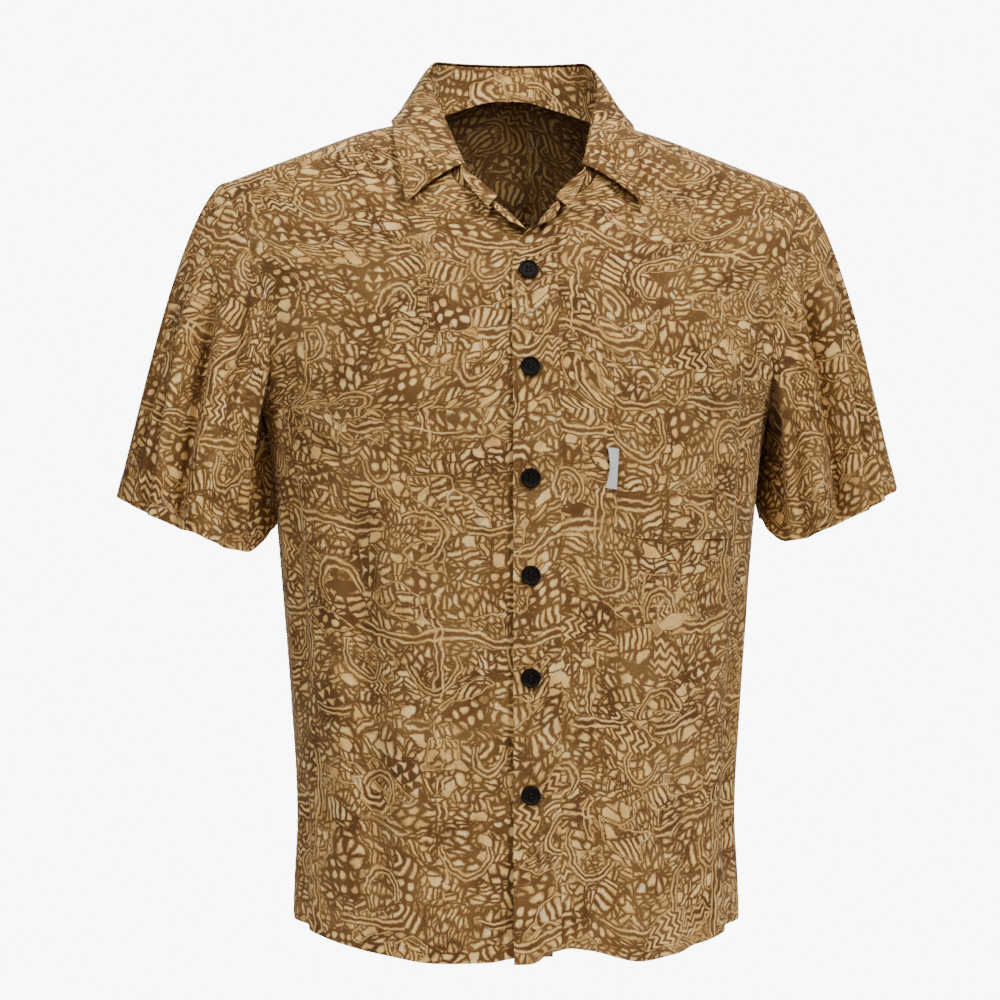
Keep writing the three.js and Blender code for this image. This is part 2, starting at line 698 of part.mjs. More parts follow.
// How the yoke's points are spread from the neck to the armhole, as along the fronts' top edge.
function yokeSpread(side, outward) {
  const place = frontPlace(side < 0 ? FRONT_SIDES.right : FRONT_SIDES.left, FRONT_SEAM.neckLevel, outward);
  const x = Math.abs(bodyPoint(place.around, place.level).x);
  const from = YOKE_NECK[0].x;
  return (x - from) / (armholeX(FRONT_SEAM.armLevel, side) - from);
}

function yokeSample(across, outward) {
  const side = across < 0.5 ? -1 : 1;
  const turn = across < 0.5 ? across : 1 - across;
  const neckX = read(YOKE_NECK, 'turn', turn, 'x');
  const neckOver = read(YOKE_NECK, 'turn', turn, 'over');
  const outer = yokeOuter(turn, side);
  const spread = yokeSpread(side, outward);
  return shoulderSurface(side * mix(neckX, outer.x, spread), mix(neckOver, outer.over, outward));
}

// The columns along the back seam are those of the back panel.
function yokeGrid() {
  const arm = steps(YOKE_ARM_COLUMNS).map((share) => share * YOKE_ARM_TURN);
  const seam = steps(BACK_COLUMNS).slice(1, -1).map((share) => mix(YOKE_ARM_TURN, 1 - YOKE_ARM_TURN, share));
  const columns = [...arm, ...seam, ...arm.map((turn) => 1 - turn).reverse()];
  return steps(YOKE_ROWS).map((outward) => columns.map((across) => yokeSample(across, outward)));
}

addPiece('yoke', clothGeometry(openSeams(yokeGrid())), CLOTH);

// ---------------------------------------------------------------- sleeves

const SLEEVE_COLUMNS = 34;
const SLEEVE_SHARES = [0, 0.05, 0.12, 0.2, 0.3, 0.4, 0.5, 0.6, 0.7, 0.8, 0.9, 1];

// Place of the armhole at degrees round the arm, and the directions of the body's wall there.
function armholeEdge(side, around) {
  const edgeAt = (turn) => {
    const atFront = Math.sin(turn * DEGREE) >= 0;
    const level = Math.asin((1 + Math.cos(turn * DEGREE)) / 2) / DEGREE;
    const over = (atFront ? 1 : -1) * (90 - level);
    return { level, over, x: side * armholeX(level, side), atFront };
  };
  const pointAt = (turn) => {
    const edge = edgeAt(turn);
    return bodyPoint(aroundAt(edge.x, edge.level, edge.atFront), edge.level);
  };
  const edge = edgeAt(around);
  const point = pointAt(around);
  const tangent = pointAt(around + 1).sub(pointAt(around - 1)).normalize();
  const place = aroundAt(edge.x, edge.level, edge.atFront);
  const overShoulder = edge.level > 60;
  const surface = overShoulder ? shoulderSurface(edge.x, edge.over) : bodySurface(place, edge.level);
  const normal = surface.normal;
  const away = new THREE.Vector3().crossVectors(tangent, normal).normalize();
  const middle = new THREE.Vector3(side * ARMHOLE_MIDDLE.x, 0, ARMHOLE_MIDDLE.z);
  if (away.dot(middle.sub(point)) < 0) {
    away.negate();
  }
  return { point, normal, away };
}

function sleeveFold(folds, around, along) {
  return folds.reduce((total, fold) => {
    const middle = mix(fold.armAround, fold.hemAround, along);
    const distance = (around - middle) / fold.width;
    const starts = smoothstep(fold.start, fold.start + SLEEVE_FOLD_FADE, along);
    const ends = smoothstep(fold.end, fold.end - SLEEVE_FOLD_FADE, along);
    return total + fold.depth * starts * ends * foldSection(distance);
  }, 0);
}

// A point of a sleeve's outer surface, a smooth curve from the armhole to the hem.
function sleevePoint(shape, folds, around, along) {
  const turn = ((around % 360) + 360) % 360;
  const edge = armholeEdge(shape.side, turn);
  const start = edge.point.clone().addScaledVector(edge.away, SEAM_GAP);
  const high = (1 + Math.cos(turn * DEGREE)) / 2;
  const front = Math.sin(turn * DEGREE);
  const middleX = (shape.outerX + SLEEVE.innerX) / 2;
  const halfWidth = (shape.outerX - SLEEVE.innerX) / 2;
  const hem = new THREE.Vector3(
    shape.side * (middleX + halfWidth * Math.cos(turn * DEGREE)),
    SLEEVE.centreY - SLEEVE.halfDepth * front,
    read(SLEEVE_HEM, 'around', turn, 'z') - shape.drop,
  );
  const { under, over } = SLEEVE_LEAVES;
  const leave = new THREE.Vector3(
    shape.side * mix(under.out, over.out, high),
    -0.12 * front,
    -mix(under.down, over.down, high),
  );
  leave.normalize().multiplyScalar(mix(under.pull, over.pull, high));
  const arrive = new THREE.Vector3(shape.side * SLEEVE_ARRIVES.out, 0, -SLEEVE_ARRIVES.down);
  arrive.multiplyScalar(mix(SLEEVE_ARRIVES.pullUnder, SLEEVE_ARRIVES.pullOver, high));
  const t = along;
  const point = start.multiplyScalar((1 + 2 * t) * (1 - t) * (1 - t));
  point.addScaledVector(leave, t * (1 - t) * (1 - t));
  point.addScaledVector(hem, t * t * (3 - 2 * t));
  point.addScaledVector(arrive, t * t * (t - 1));
  const outward = new THREE.Vector3(shape.side * Math.cos(turn * DEGREE), -front, 0.25 * high);
  return point.addScaledVector(outward.normalize(), sleeveFold(folds, turn, along));
}

// Direction from the outer to the inner face at the armhole, kept on the sleeve's side of it.
function armholeWall(edge, inward) {
  const lean = Math.atan2(inward.dot(edge.away), -inward.dot(edge.normal));
  const angle = Math.max(0, lean < -Math.PI / 2 ? Math.PI : lean);
  return edge.normal.clone().multiplyScalar(-Math.cos(angle)).addScaledVector(edge.away, Math.sin(angle));
}

// Unit normal of a sleeve's outer face.
function sleeveNormal(pointAt, side, around, along) {
  const low = Math.max(0, along - 0.01);
  const high = Math.min(1, along + 0.01);
  const round = pointAt(around + 1, along).sub(pointAt(around - 1, along));
  const down = pointAt(around, high).sub(pointAt(around, low));
  const normal = round.cross(down).normalize();
  const turn = around * DEGREE;
  const outward = new THREE.Vector3(side * Math.cos(turn), -Math.sin(turn), 0);
  return normal.dot(outward) < 0 ? normal.negate() : normal;
}

function sleeveRows(name) {
  const shape = SLEEVE_SIDES[name];
  const folds = SLEEVE_FOLDS[name];
  const pointAt = (around, along) => sleevePoint(shape, folds, around, along);
  return SLEEVE_SHARES.map((along) => {
    return steps(SLEEVE_COLUMNS).slice(0, -1).map((share) => {
      const around = share * 360;
      const normal = sleeveNormal(pointAt, shape.side, around, along);
      if (along > 0) {
        const point = pointAt(around, along);
        return { point, inner: point.clone().addScaledVector(normal, -WALL) };
      }
      const edge = armholeEdge(shape.side, around);
      const wall = armholeWall(edge, normal.negate());
      const lift = Math.max(0, wall.dot(edge.normal));
      const point = edge.point.clone().addScaledVector(edge.away, SEAM_GAP);
      point.addScaledVector(edge.normal, SEAM_GAP * lift);
      return { point, inner: point.clone().addScaledVector(wall, WALL) };
    });
  });
}

for (const name of ['right', 'left']) {
  const rows = sleeveRows(name);
  const outer = rows.map((row) => row.map((sample) => sample.point));
  const inner = rows.map((row) => row.map((sample) => sample.inner));
  addPiece(`sleeve_${name}`, wallGeometry(outer, inner, true), CLOTH);
}

// ---------------------------------------------------------------- collar

const LEAF_STATIONS = [0.1, 0.2, 0.3, 0.36, 0.42, 0.52, 0.64, 0.8, 0.9, 1];
const STAND_STATIONS = [...LEAF_STATIONS, 1.06, 1.12, 1.19, 1.26];
const YOKE_STATION = 0.52; // the stand is sewn to the yoke up to here
const END_STATION = 0.9; // and its front end turns out from here
const STAND_ROWS = 5;
const LEAF_ROWS = 6;

// Where the stand is sewn on, just inside the neck edge.
function standSeam(side, station) {
  let point;
  if (station <= YOKE_STATION) {
    const turn = read(COLLAR, 'station', station, 'turn');
    point = shoulderPoint(side * read(YOKE_NECK, 'turn', turn, 'x'), read(YOKE_NECK, 'turn', turn, 'over'));
  } else {
    const table = station < END_STATION ? COLLAR : STAND_CREST;
    const level = read(table, 'station', station, 'level');
    const front = side < 0 ? FRONT_SIDES.right : FRONT_SIDES.left;
    const crease = side * read(front.opening, 'level', level, 'crease');
    point = bodyPoint(aroundAt(crease, level, true), level);
  }
  const towardNeck = new THREE.Vector3(-point.x, NECK_AXIS_Y - point.y, 0).normalize();
  return point.addScaledVector(towardNeck, STAND_INSET).setZ(point.z + SEAM_GAP);
}

function crestPoint(side, station) {
  if (station > END_STATION) {
    return new THREE.Vector3(
      side * read(STAND_CREST, 'station', station, side < 0 ? 'right' : 'left'),
      read(STAND_CREST, 'station', station, 'y'),
      read(STAND_CREST, 'station', station, 'z'),
    );
  }
  return new THREE.Vector3(
    side * read(COLLAR, 'station', station, 'crestX'),
    read(COLLAR, 'station', station, 'crestY'),
    read(COLLAR, 'station', station, 'crestZ'),
  );
}

// The stand's section: up from the seam to the crest and, at the front ends, over and out.
function standPoint(along, rise) {
  const side = along < 0 ? -1 : 1;
  const station = Math.abs(along);
  const seam = standSeam(side, station);
  const crest = crestPoint(side, station);
  const turnedOut = new THREE.Vector3(
    side * read(STAND_TURNED, 'station', station, 'x'),
    read(STAND_TURNED, 'station', station, 'y'),
    read(STAND_TURNED, 'station', station, 'z'),
  );
  const turned = smoothstep(END_STATION, STAND_TURNED[2].station, station);
  const reach = Math.min(1, rise / mix(1, 0.7, turned));
  const climb = mix(reach, 1 - (1 - reach) ** 2, turned);
  const fall = Math.max(0, (rise - 0.4) / 0.6) ** 2;
  return seam.lerp(crest, climb).addScaledVector(turnedOut, fall);
}

// The leaf's section: over the crest, then down and outwards to its edge.
function leafPoint(along, fall) {
  const side = along < 0 ? -1 : 1;
  const station = Math.abs(along);
  const crest = crestPoint(side, station);
  const spread = side < 0 ? LEAF_SPREAD.right : LEAF_SPREAD.left;
  const lying = shoulderSurface(
    side * (read(LEAF_EDGE, 'station', station, 'x') + spread * smoothstep(0.1, 0.4, station)),
    read(LEAF_EDGE, 'station', station, 'over'),
  );
  const edge = lying.point.addScaledVector(lying.normal, read(LEAF_EDGE, 'station', station, 'lift'));
  const outward = edge.clone().sub(crest).setZ(0).normalize();
  const start = crest.clone().add(new THREE.Vector3(0, 0, FOLD_RISE));
  const overCrest = start.clone().addScaledVector(outward, LEAF_ROLL);
  const belly = crest.clone().lerp(edge, LEAF_BELLY.share).addScaledVector(outward, LEAF_BELLY.out);
  const t = fall;
  return start
    .multiplyScalar((1 - t) ** 3)
    .addScaledVector(overCrest, 3 * t * (1 - t) ** 2)
    .addScaledVector(belly, 3 * t * t * (1 - t))
    .addScaledVector(edge, t ** 3);
}

// Samples of a collar surface, with normals on one side of it all along.
function collarGrid(pointAt, stations, rowCount, outSign) {
  const along = [...stations.map((station) => -station).reverse(), 0, ...stations];
  return steps(rowCount).map((share) => along.map((station) => {
    const alongU = pointAt(station + 0.01, share).sub(pointAt(station - 0.01, share));
    const low = Math.max(0, share - 0.02);
    const high = Math.min(1, share + 0.02);
    const alongV = pointAt(station, high).sub(pointAt(station, low));
    const normal = alongU.cross(alongV).normalize().multiplyScalar(outSign);
    return { point: pointAt(station, share), normal };
  }));
}

addPiece('collar_stand', clothGeometry(collarGrid(standPoint, STAND_STATIONS, STAND_ROWS, -1)), CLOTH);
addPiece('collar_leaf', clothGeometry(collarGrid(leafPoint, LEAF_STATIONS, LEAF_ROWS, 1)), CLOTH);

// ---------------------------------------------------------------- pocket and tab

const POCKET_COLUMNS = 18;
const POCKET_ROWS = 10;
const TAB_ROWS = 4;

// Level of the front's surface at a height and a distance from the centre line.
function frontLevelAt(x, z) {
  if (z <= UNDERARM_Z) {
    return z - UNDERARM_Z;
  }
  const climb = (z - UNDERARM_Z) / (ridgeHeight(x, true, 0) - UNDERARM_Z);
  return Math.asin(climb ** (1 / FRONT_CURVE)) / DEGREE;
}

function pocketSample(across, down) {
  const corner = POCKET_CORNER.rise * Math.abs(2 * across - 1) ** POCKET_CORNER.sharpness;
  const z = mix(POCKET.topZ, POCKET.bottomZ + corner, down);
  const level = frontLevelAt(mix(POCKET.innerX, POCKET.outerX, across), z);
  const from = aroundAt(POCKET.innerX, level, true);
  const to = aroundAt(POCKET.outerX, level, true);
  const sample = bodySurface(mix(from, to, across), level);
  const openMouth = smoothstep(0.3, 0.7, across) * smoothstep(1, 0.85, across) * smoothstep(0.3, 0, down);
  sample.point.addScaledVector(sample.normal, POCKET.gape * openMouth);
  return sample;
}

const pocketGrid = steps(POCKET_ROWS).map((down) => {
  return steps(POCKET_COLUMNS).map((across) => pocketSample(across, down));
});
addPiece('pocket', clothGeometry(pocketGrid, WALL + LAY_GAP + POCKET.ease), CLOTH);

// The tab is sewn on over the pocket's edge nearest the opening.
const tabGrid = steps(TAB_ROWS).map((down) => steps(2).map((across) => {
  const height = POCKET.topZ - POCKET.bottomZ;
  const place = (POCKET.topZ - mix(TAB.topZ, TAB.bottomZ, down)) / height;
  return pocketSample(across * TAB.share, place);
}));
addPiece('pocket_tab', clothGeometry(tabGrid, 2 * (WALL + LAY_GAP) + POCKET.ease), WOVEN_TAB);

// ---------------------------------------------------------------- buttons

const BUTTON_SIDES = 18;
const BUTTON_LIFT = WALL + 2 * LAY_GAP; // clear of the band

// Half the section of a button, from the middle of its back to the middle of its well.
function buttonProfile() {
  const { radius, thickness, rim, well } = BUTTON;
  return [
    new THREE.Vector2(0, 0),
    new THREE.Vector2(radius - 1.2, 0),
    new THREE.Vector2(radius, thickness * 0.5),
    new THREE.Vector2(radius - rim * 0.5, thickness),
    new THREE.Vector2(radius - rim * 1.5, thickness - well),
    new THREE.Vector2(0, thickness - well),
  ];
}

BUTTON_HEIGHTS.forEach((z, index) => {
  const seat = bodySurface(0, frontLevelAt(0, z));
  const geometry = new THREE.LatheGeometry(buttonProfile(), BUTTON_SIDES);
  const button = addPiece(`button_${index + 1}`, geometry, DARK_BUTTON);
  button.position.copy(seat.point).addScaledVector(seat.normal, BUTTON_LIFT);
  button.quaternion.setFromUnitVectors(new THREE.Vector3(0, 1, 0), seat.normal);
});

export default shirt;
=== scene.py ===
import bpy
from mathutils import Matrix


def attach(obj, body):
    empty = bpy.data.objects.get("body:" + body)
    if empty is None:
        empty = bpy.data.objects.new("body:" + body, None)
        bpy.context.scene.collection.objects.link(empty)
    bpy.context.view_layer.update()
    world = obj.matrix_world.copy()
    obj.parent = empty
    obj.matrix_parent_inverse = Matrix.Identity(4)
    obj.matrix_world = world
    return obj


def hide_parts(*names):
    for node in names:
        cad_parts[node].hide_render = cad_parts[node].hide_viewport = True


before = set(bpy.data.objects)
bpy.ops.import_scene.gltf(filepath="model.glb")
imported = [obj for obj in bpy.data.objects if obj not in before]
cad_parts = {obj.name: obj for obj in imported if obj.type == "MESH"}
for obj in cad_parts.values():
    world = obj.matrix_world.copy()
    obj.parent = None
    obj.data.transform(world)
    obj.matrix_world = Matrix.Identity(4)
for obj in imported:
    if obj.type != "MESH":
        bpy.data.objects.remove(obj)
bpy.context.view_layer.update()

import math
import bpy
import numpy as np

# ---------------------------------------------------------------- camera, light and floor
# The camera stands 3.2 m in front of the shirt, 5 degrees to the wearer's right, level with the
# middle of its height. A white room, a pale floor and three soft lamps make the studio's light.
# The lamps stand in front to the left, in front to the right, and behind.

AZIMUTH = math.radians(-5)
DISTANCE = 3.2
AIM = (-0.014, 0.0, -0.349)
FRAME_WIDTH = 0.9  # width of the picture where the shirt hangs
SENSOR_WIDTH = 36
LAMP_TARGET = np.array([0, 0, -0.35])

camera_data = bpy.data.cameras.new("camera")
camera_data.sensor_width = SENSOR_WIDTH
camera_data.lens = SENSOR_WIDTH * DISTANCE / FRAME_WIDTH
camera = bpy.data.objects.new("camera", camera_data)
camera.location = (
    AIM[0] + DISTANCE * math.sin(AZIMUTH),
    AIM[1] - DISTANCE * math.cos(AZIMUTH),
    AIM[2],
)
camera.rotation_euler = (math.pi / 2, 0, AZIMUTH)
bpy.context.scene.collection.objects.link(camera)
bpy.context.scene.camera = camera


def soft_lamp(name, place, size, power):
    """A square lamp that faces the middle of the shirt."""
    data = bpy.data.lights.new(name, "AREA")
    data.shape = "SQUARE"
    data.size = size
    data.energy = power
    lamp = bpy.data.objects.new(name, data)
    away = np.array(place) - LAMP_TARGET
    lamp.location = place
    lamp.rotation_euler = (
        math.atan2(math.hypot(away[0], away[1]), away[2]),
        0,
        math.atan2(away[1], away[0]) + math.pi / 2,
    )
    bpy.context.scene.collection.objects.link(lamp)


soft_lamp("lamp_key", (1.5, -2.3, 2.15), 0.9, 124)
soft_lamp("lamp_fill", (-1.5, -2.1, 1.9), 1.2, 60)
soft_lamp("lamp_back", (0.2, 2.6, 1.9), 1.6, 64)

# The room is white to the camera, and lights the shirt much less than that.
ROOM_LIGHT = 0.17
ROOM_SEEN = 9

world = bpy.data.worlds.new("studio")
world.use_nodes = True
world_tree = world.node_tree
room = world_tree.nodes["Background"]
room.inputs["Color"].default_value = (1, 1, 1, 1)
room.inputs["Strength"].default_value = ROOM_LIGHT
seen_room = world_tree.nodes.new("ShaderNodeBackground")
seen_room.inputs["Color"].default_value = (1, 1, 1, 1)
seen_room.inputs["Strength"].default_value = ROOM_SEEN
seen = world_tree.nodes.new("ShaderNodeLightPath")
either = world_tree.nodes.new("ShaderNodeMixShader")
world_tree.links.new(seen.outputs["Is Camera Ray"], either.inputs[0])
world_tree.links.new(room.outputs[0], either.inputs[1])
world_tree.links.new(seen_room.outputs[0], either.inputs[2])
world_tree.links.new(either.outputs[0], world_tree.nodes["World Output"].inputs[0])
bpy.context.scene.world = world

# The floor is a pale disc under the shirt. It too is brighter to the camera than as a light.
FLOOR_LEVEL = -0.93
FLOOR_RADIUS = 0.85
FLOOR_CORNERS = 128
FLOOR_LIGHT = 0.3
FLOOR_SEEN = 1.6


def new_look(name):
    """A new material with its node tree and shader."""
    look = bpy.data.materials.new(name)
    look.use_nodes = True
    return look, look.node_tree, look.node_tree.nodes["Principled BSDF"]


floor_turn = np.linspace(0, 2 * math.pi, FLOOR_CORNERS + 1)[:-1]
floor_rim = np.stack([np.cos(floor_turn), np.sin(floor_turn)], -1) * FLOOR_RADIUS
floor_mesh = bpy.data.meshes.new("floor")
floor_corners = [(x, y, FLOOR_LEVEL) for x, y in floor_rim.tolist()]
floor_mesh.from_pydata(floor_corners, [], [list(range(FLOOR_CORNERS))])
floor = bpy.data.objects.new("floor", floor_mesh)
bpy.context.scene.collection.objects.link(floor)
floor_paint, floor_tree, floor_shader = new_look("floor_paint")
floor_shader.inputs["Base Color"].default_value = (0.82, 0.82, 0.81, 1)
floor_shader.inputs["Roughness"].default_value = 0.9
floor_shader.inputs["Emission Color"].default_value = (1, 1, 1, 1)
floor_glow = floor_tree.nodes.new("ShaderNodeMath")
floor_glow.operation = "MULTIPLY_ADD"
floor_glow.inputs[1].default_value = FLOOR_SEEN - FLOOR_LIGHT
floor_glow.inputs[2].default_value = FLOOR_LIGHT
floor_seen = floor_tree.nodes.new("ShaderNodeLightPath")
floor_tree.links.new(floor_seen.outputs["Is Camera Ray"], floor_glow.inputs[0])
floor_tree.links.new(floor_glow.outputs[0], floor_shader.inputs["Emission Strength"])
floor_mesh.materials.append(floor_paint)

# ---------------------------------------------------------------- fronts
# Each front is one panel of printed plain-weave cotton, from its front edge to the side seam and
# the armhole. Its neck corner is turned outwards, and its lower edge is folded up and stitched.

# Horizontal sections of the worn body, in millimetres. A level below 0 is millimetres under the
# underarm, and above 0 it is degrees up the curve from the underarm to the shoulder ridge, 90.
BODY = {
    "level": [-500, -430, -360, -260, -170, -80, 0, 15, 30, 47, 70, 90],
    "half_width": [199, 198.5, 195.5, 201, 208, 216, 228, 248, 258, 268, 276, 282],
    "front": [146, 145, 143, 142, 142, 141, 140, 140, 140, 140, 140, 140],
    "back": [146, 145, 142, 140, 140, 142, 145, 146, 146, 146, 146, 146],
}
UNDERARM = -270
SQUARENESS = 2.35  # sections are a little boxier than an ellipse, whose squareness is 2
POWER = 2 / SQUARENESS
FRONT_CURVE = 1.15
BACK_CURVE = 0.75
MM_PER_DEGREE = 3.4  # cloth round the body
NECK_TOP = 77  # level of a front's shoulder edge at the neck
ARM_TOP = 66  # and at the armhole
TUCK = {"depth": 2.3, "full_x": -20, "from_x": -48}  # the right front sinks under the left one
RIDGE = {"height": -4, "neck": 80, "slope": 0.385, "round": 30, "nape": 28}
SHOULDER_RISE = {-1: 8.5, 1: 3.5}
ARMHOLE = {
    "level": [0, 7, 15, 30, 45, 60, 75, 90],
    "x": [228, 224, 222, 226, 240, 250, 257, 260],
}
OPENING = {
    1: {
        "level": [-480, 24, 27.5, 29.5, 32, 34, 36, 37.5, 39, 40.5, 42, 44, 46, 50, 58, 68, 77],
        "crease": [-1, -1, -0.5, 0.5, 3.5, 7.5, 11.5, 14, 18, 23, 28, 37, 46, 60, 71, 79, 84],
        "strip": [14, 14, 14, 14, 14, 14, 15, 18, 20, 18, 12, 2, 0.6, 0.6, 0.6, 0.6, 0.6],
        "curl": [0, 0, 0, 0, 0, 0.1, 0.5, 1, 1, 1, 1, 1, 0.1, 0, 0, 0, 0],
    },
    -1: {
        "level": [-480, 24, 27.5, 29.5, 32, 34, 35, 36, 37.5, 39, 40.5, 42, 44, 46, 50, 58, 68, 77],
        "crease": [-1, -1, -1, -1, 0, 1.5, 3, 6, 10, 15.5, 21.5, 28, 37, 46, 60, 71, 79, 84],
        "strip": [18, 18, 17, 14, 10, 6, 5, 10, 20, 22, 20, 12, 2, 0.6, 0.6, 0.6, 0.6, 0.6],
        "curl": [0, 0, 0, 0, 0, 0, 0, 0.8, 1, 1, 1, 1, 1, 0.1, 0, 0, 0, 0],
    },
}
HEM = {
    1: {
        "around": [0, 3, 7, 12, 25, 35, 55, 75, 90],
        "z": [-748, -739, -735, -738, -748, -744.5, -732, -723, -719],
    },
    -1: {"around": [0, 8, 20, 35, 55, 75, 90], "z": [-742, -747, -748, -742, -733, -723, -719]},
}

# Folds of the hanging cloth: where round the body, in degrees from the centre front, how far
# each drifts sideways on its way down, where it starts and ends, its width and its depth.
FOLD_FADE = 70
FOLDS = {
    "around": [-42, 13, -66, 64, -78, 40, -14, -24, 30, 52, 118, 150, 172, 205, 238],
    "drift": [2, 3, -5, 4, 6, 6, 2, 9, -8, 10, 8, 5, -3, -4, -7],
    "top": [-320, -390, -300, -390, -560, -560, -470, -110, -130, -150]
    + [-240, -330, -430, -300, -230],
    "bottom": [-700, -800, -560, -800, -800, -800, -760, -330, -300, -420]
    + [-620, -800, -700, -800, -600],
    "width": [20, 17, 15, 16, 14, 13, 11, 12, 13, 13, 17, 18, 15, 19, 16],
    "depth": [8, 8.5, 5, 5, 4.5, 4, 3, 2, 2, 2.5, 6, 6, 4, 7, 6],
}

# Slanting creases, from one place to another: degrees round the body and heights, with the width
# and depth of each. They run down from the armpits, in from the buttons and across the back.
CREASES = {
    "from_around": [-72, -70, 72, 70, -8, 12, -6, -6, 10, -60, 62, -70, 50]
    + [112, 248, 160, 206, 124, 236, 100],
    "from_z": [-250, -215, -250, -210, -150, -160, -330, -502, -505, -470, -450, -600, -620]
    + [-250, -250, -470, -540, -430, -440, -600],
    "to_around": [-38, -44, 40, 48, -30, 34, -26, -30, 30, -30, 36, -48, 24]
    + [146, 212, 196, 170, 150, 214, 122],
    "to_z": [-330, -262, -322, -250, -190, -205, -352, -536, -548, -520, -512, -650, -668]
    + [-320, -330, -500, -580, -480, -500, -650],
    "width": [7, 6, 7, 6, 6, 6, 5, 6, 6, 7, 7, 7, 7, 8, 8, 9, 9, 8, 8, 8],
    "depth": [2.2, 1.6, 2.2, 1.5, 1.4, 1.4, 1.1, 1.4, 1.3, 1.9, 1.9, 1.7, 1.6]
    + [2.4, 2.4, 2.2, 1.8, 2, 2, 1.7],
}

# Between the buttons the left front's edge stands off the right front by a few millimetres.
EDGE_GAPE = {
    "z": [-760, -700, -650, -603, -555, -502, -458, -414, -372, -330, -282, -234, -192, -150, -120],
    "lift": [4.2, 4.6, 3.8, 0.9, 3.6, 0.8, 3.2, 0.6, 2.8, 0.6, 2.8, 0.5, 1.8, 0.3, 0],
}


def column(table, key, at, name):
    """One column of a table, read between its rows along cubic pieces. The slope at a row is the
    harmonic mean of the slopes before and after it, or 0 where the column turns back."""
    keys = np.array(table[key], float)
    values = np.array(table[name], float)
    rise = np.diff(values) / np.diff(keys)
    slope = np.zeros_like(values)
    turning = rise[:-1] * rise[1:]
    onward = turning > 0
    slope[1:-1][onward] = 2 * turning[onward] / (rise[:-1] + rise[1:])[onward]
    held = np.clip(np.asarray(at, float), keys[0], keys[-1])
    low = np.clip(np.searchsorted(keys, held, side="right") - 1, 0, len(keys) - 2)
    span = keys[low + 1] - keys[low]
    t = (held - keys[low]) / span
    return (
        (1 + 2 * t) * (1 - t) ** 2 * values[low]
        + t * (1 - t) ** 2 * span * slope[low]
        + t * t * (3 - 2 * t) * values[low + 1]
        + t * t * (t - 1) * span * slope[low + 1]
    )


def ease(start, end, value):
    """0 before the start, 1 after the end, and a smooth cubic step between."""
    t = np.clip((np.asarray(value, float) - start) / (end - start), 0, 1)
    return t * t * (3 - 2 * t)


def mix(a, b, t):
    """From a to b, by the share t."""
    return a + (b - a) * t


def fold_section(distance):
    """A trough with a low ridge on each side, by the distance from its middle in fold widths."""
    ridges = np.exp(-((distance - 1.95) ** 2)) + np.exp(-((distance + 1.95) ** 2))
    return 0.4 * ridges - np.exp(-(distance**2))


def ridge_height(x, at_front, level):
    """Height of the shoulder ridge: a straight slope from the neck out, rounded over the middle,
    with a rise behind it over the nape of the neck and a small one over each shoulder."""
    slope = RIDGE["height"] - RIDGE["slope"] * (np.hypot(x, RIDGE["round"]) - RIDGE["neck"])
    behind = np.where(at_front, 0, 1 - ease(62, 88, level))
    nape = RIDGE["nape"] * behind * (1 - ease(0, 150, np.abs(x)))
    rise = np.where(x < 0, SHOULDER_RISE[-1], SHOULDER_RISE[1])
    return slope + nape + rise * ease(70, 150, np.abs(x))


def degrees_from(place, around):
    """Degrees from one place round the body to another, the short way."""
    return (around - place + 180) % 360 - 180


def hanging_folds(around, z):
    """Sum of the folds: each is its section across, times its depth, fading in and out over
    70 mm along its length."""
    total = np.zeros(np.broadcast(around, z).shape)
    for place, drift, top, bottom, width, depth in zip(*FOLDS.values()):
        along = (top - z) / (top - bottom)
        distance = degrees_from(place + drift * along, around) * MM_PER_DEGREE / width
        fade = ease(top, top - FOLD_FADE, z) * ease(bottom, bottom + FOLD_FADE, z)
        total = total + depth * fade * fold_section(distance)
    return total


def slanting_creases(around, z):
    """Sum of the creases: the distance from each one's line gives its section, and the share of
    the way along it fades it in and out over a third at each end."""
    total = np.zeros(np.broadcast(around, z).shape)
    for from_around, from_z, to_around, to_z, width, depth in zip(*CREASES.values()):
        run_x, run_z = (to_around - from_around) * MM_PER_DEGREE, to_z - from_z
        x, height = degrees_from(from_around, around) * MM_PER_DEGREE, z - from_z
        share = (x * run_x + height * run_z) / (run_x**2 + run_z**2)
        distance = (x * run_z - height * run_x) / math.hypot(run_x, run_z) / width
        fade = ease(0, 0.35, share) * (1 - ease(0.65, 1, share))
        total = total + depth * fade * fold_section(distance)
    return total


def body_point(around, level):
    """The worn body, by degrees round from the centre front and by level. A section is a
    superellipse. Above the underarm its depth shrinks with the cosine of the level and its height
    climbs with the sine, each to a power, and the folds push it along the section's normal."""
    around, level = np.broadcast_arrays(np.asarray(around, float), np.asarray(level, float))
    sine, cosine = np.sin(np.radians(around)), np.cos(np.radians(around))
    at_front = cosine >= 0
    half = column(BODY, "level", level, "half_width")
    front = column(BODY, "level", level, "front")
    depth = np.where(at_front, front, column(BODY, "level", level, "back"))
    curve = np.where(at_front, FRONT_CURVE, BACK_CURVE)
    across = np.sign(sine) * np.abs(sine) ** POWER
    deep = np.abs(cosine) ** POWER
    x = half * across
    climb = np.radians(np.maximum(level, 0))
    reach = depth * deep * np.maximum(np.cos(climb), 0) ** curve
    full_rise = ridge_height(x, at_front, level) - UNDERARM
    z = UNDERARM + np.where(level > 0, full_rise * np.sin(climb) ** curve, level)
    push = hanging_folds(around, z) + slanting_creases(around, z)
    out_x = np.sign(sine) * np.abs(across) ** (SQUARENESS - 1) / half
    out_y = np.where(at_front, -1, 1) * deep ** (SQUARENESS - 1) / depth
    length = np.hypot(out_x, out_y)
    y = np.where(at_front, -reach, reach) + push * out_y / length
    return np.stack([x + push * out_x / length, y, z], axis=-1)


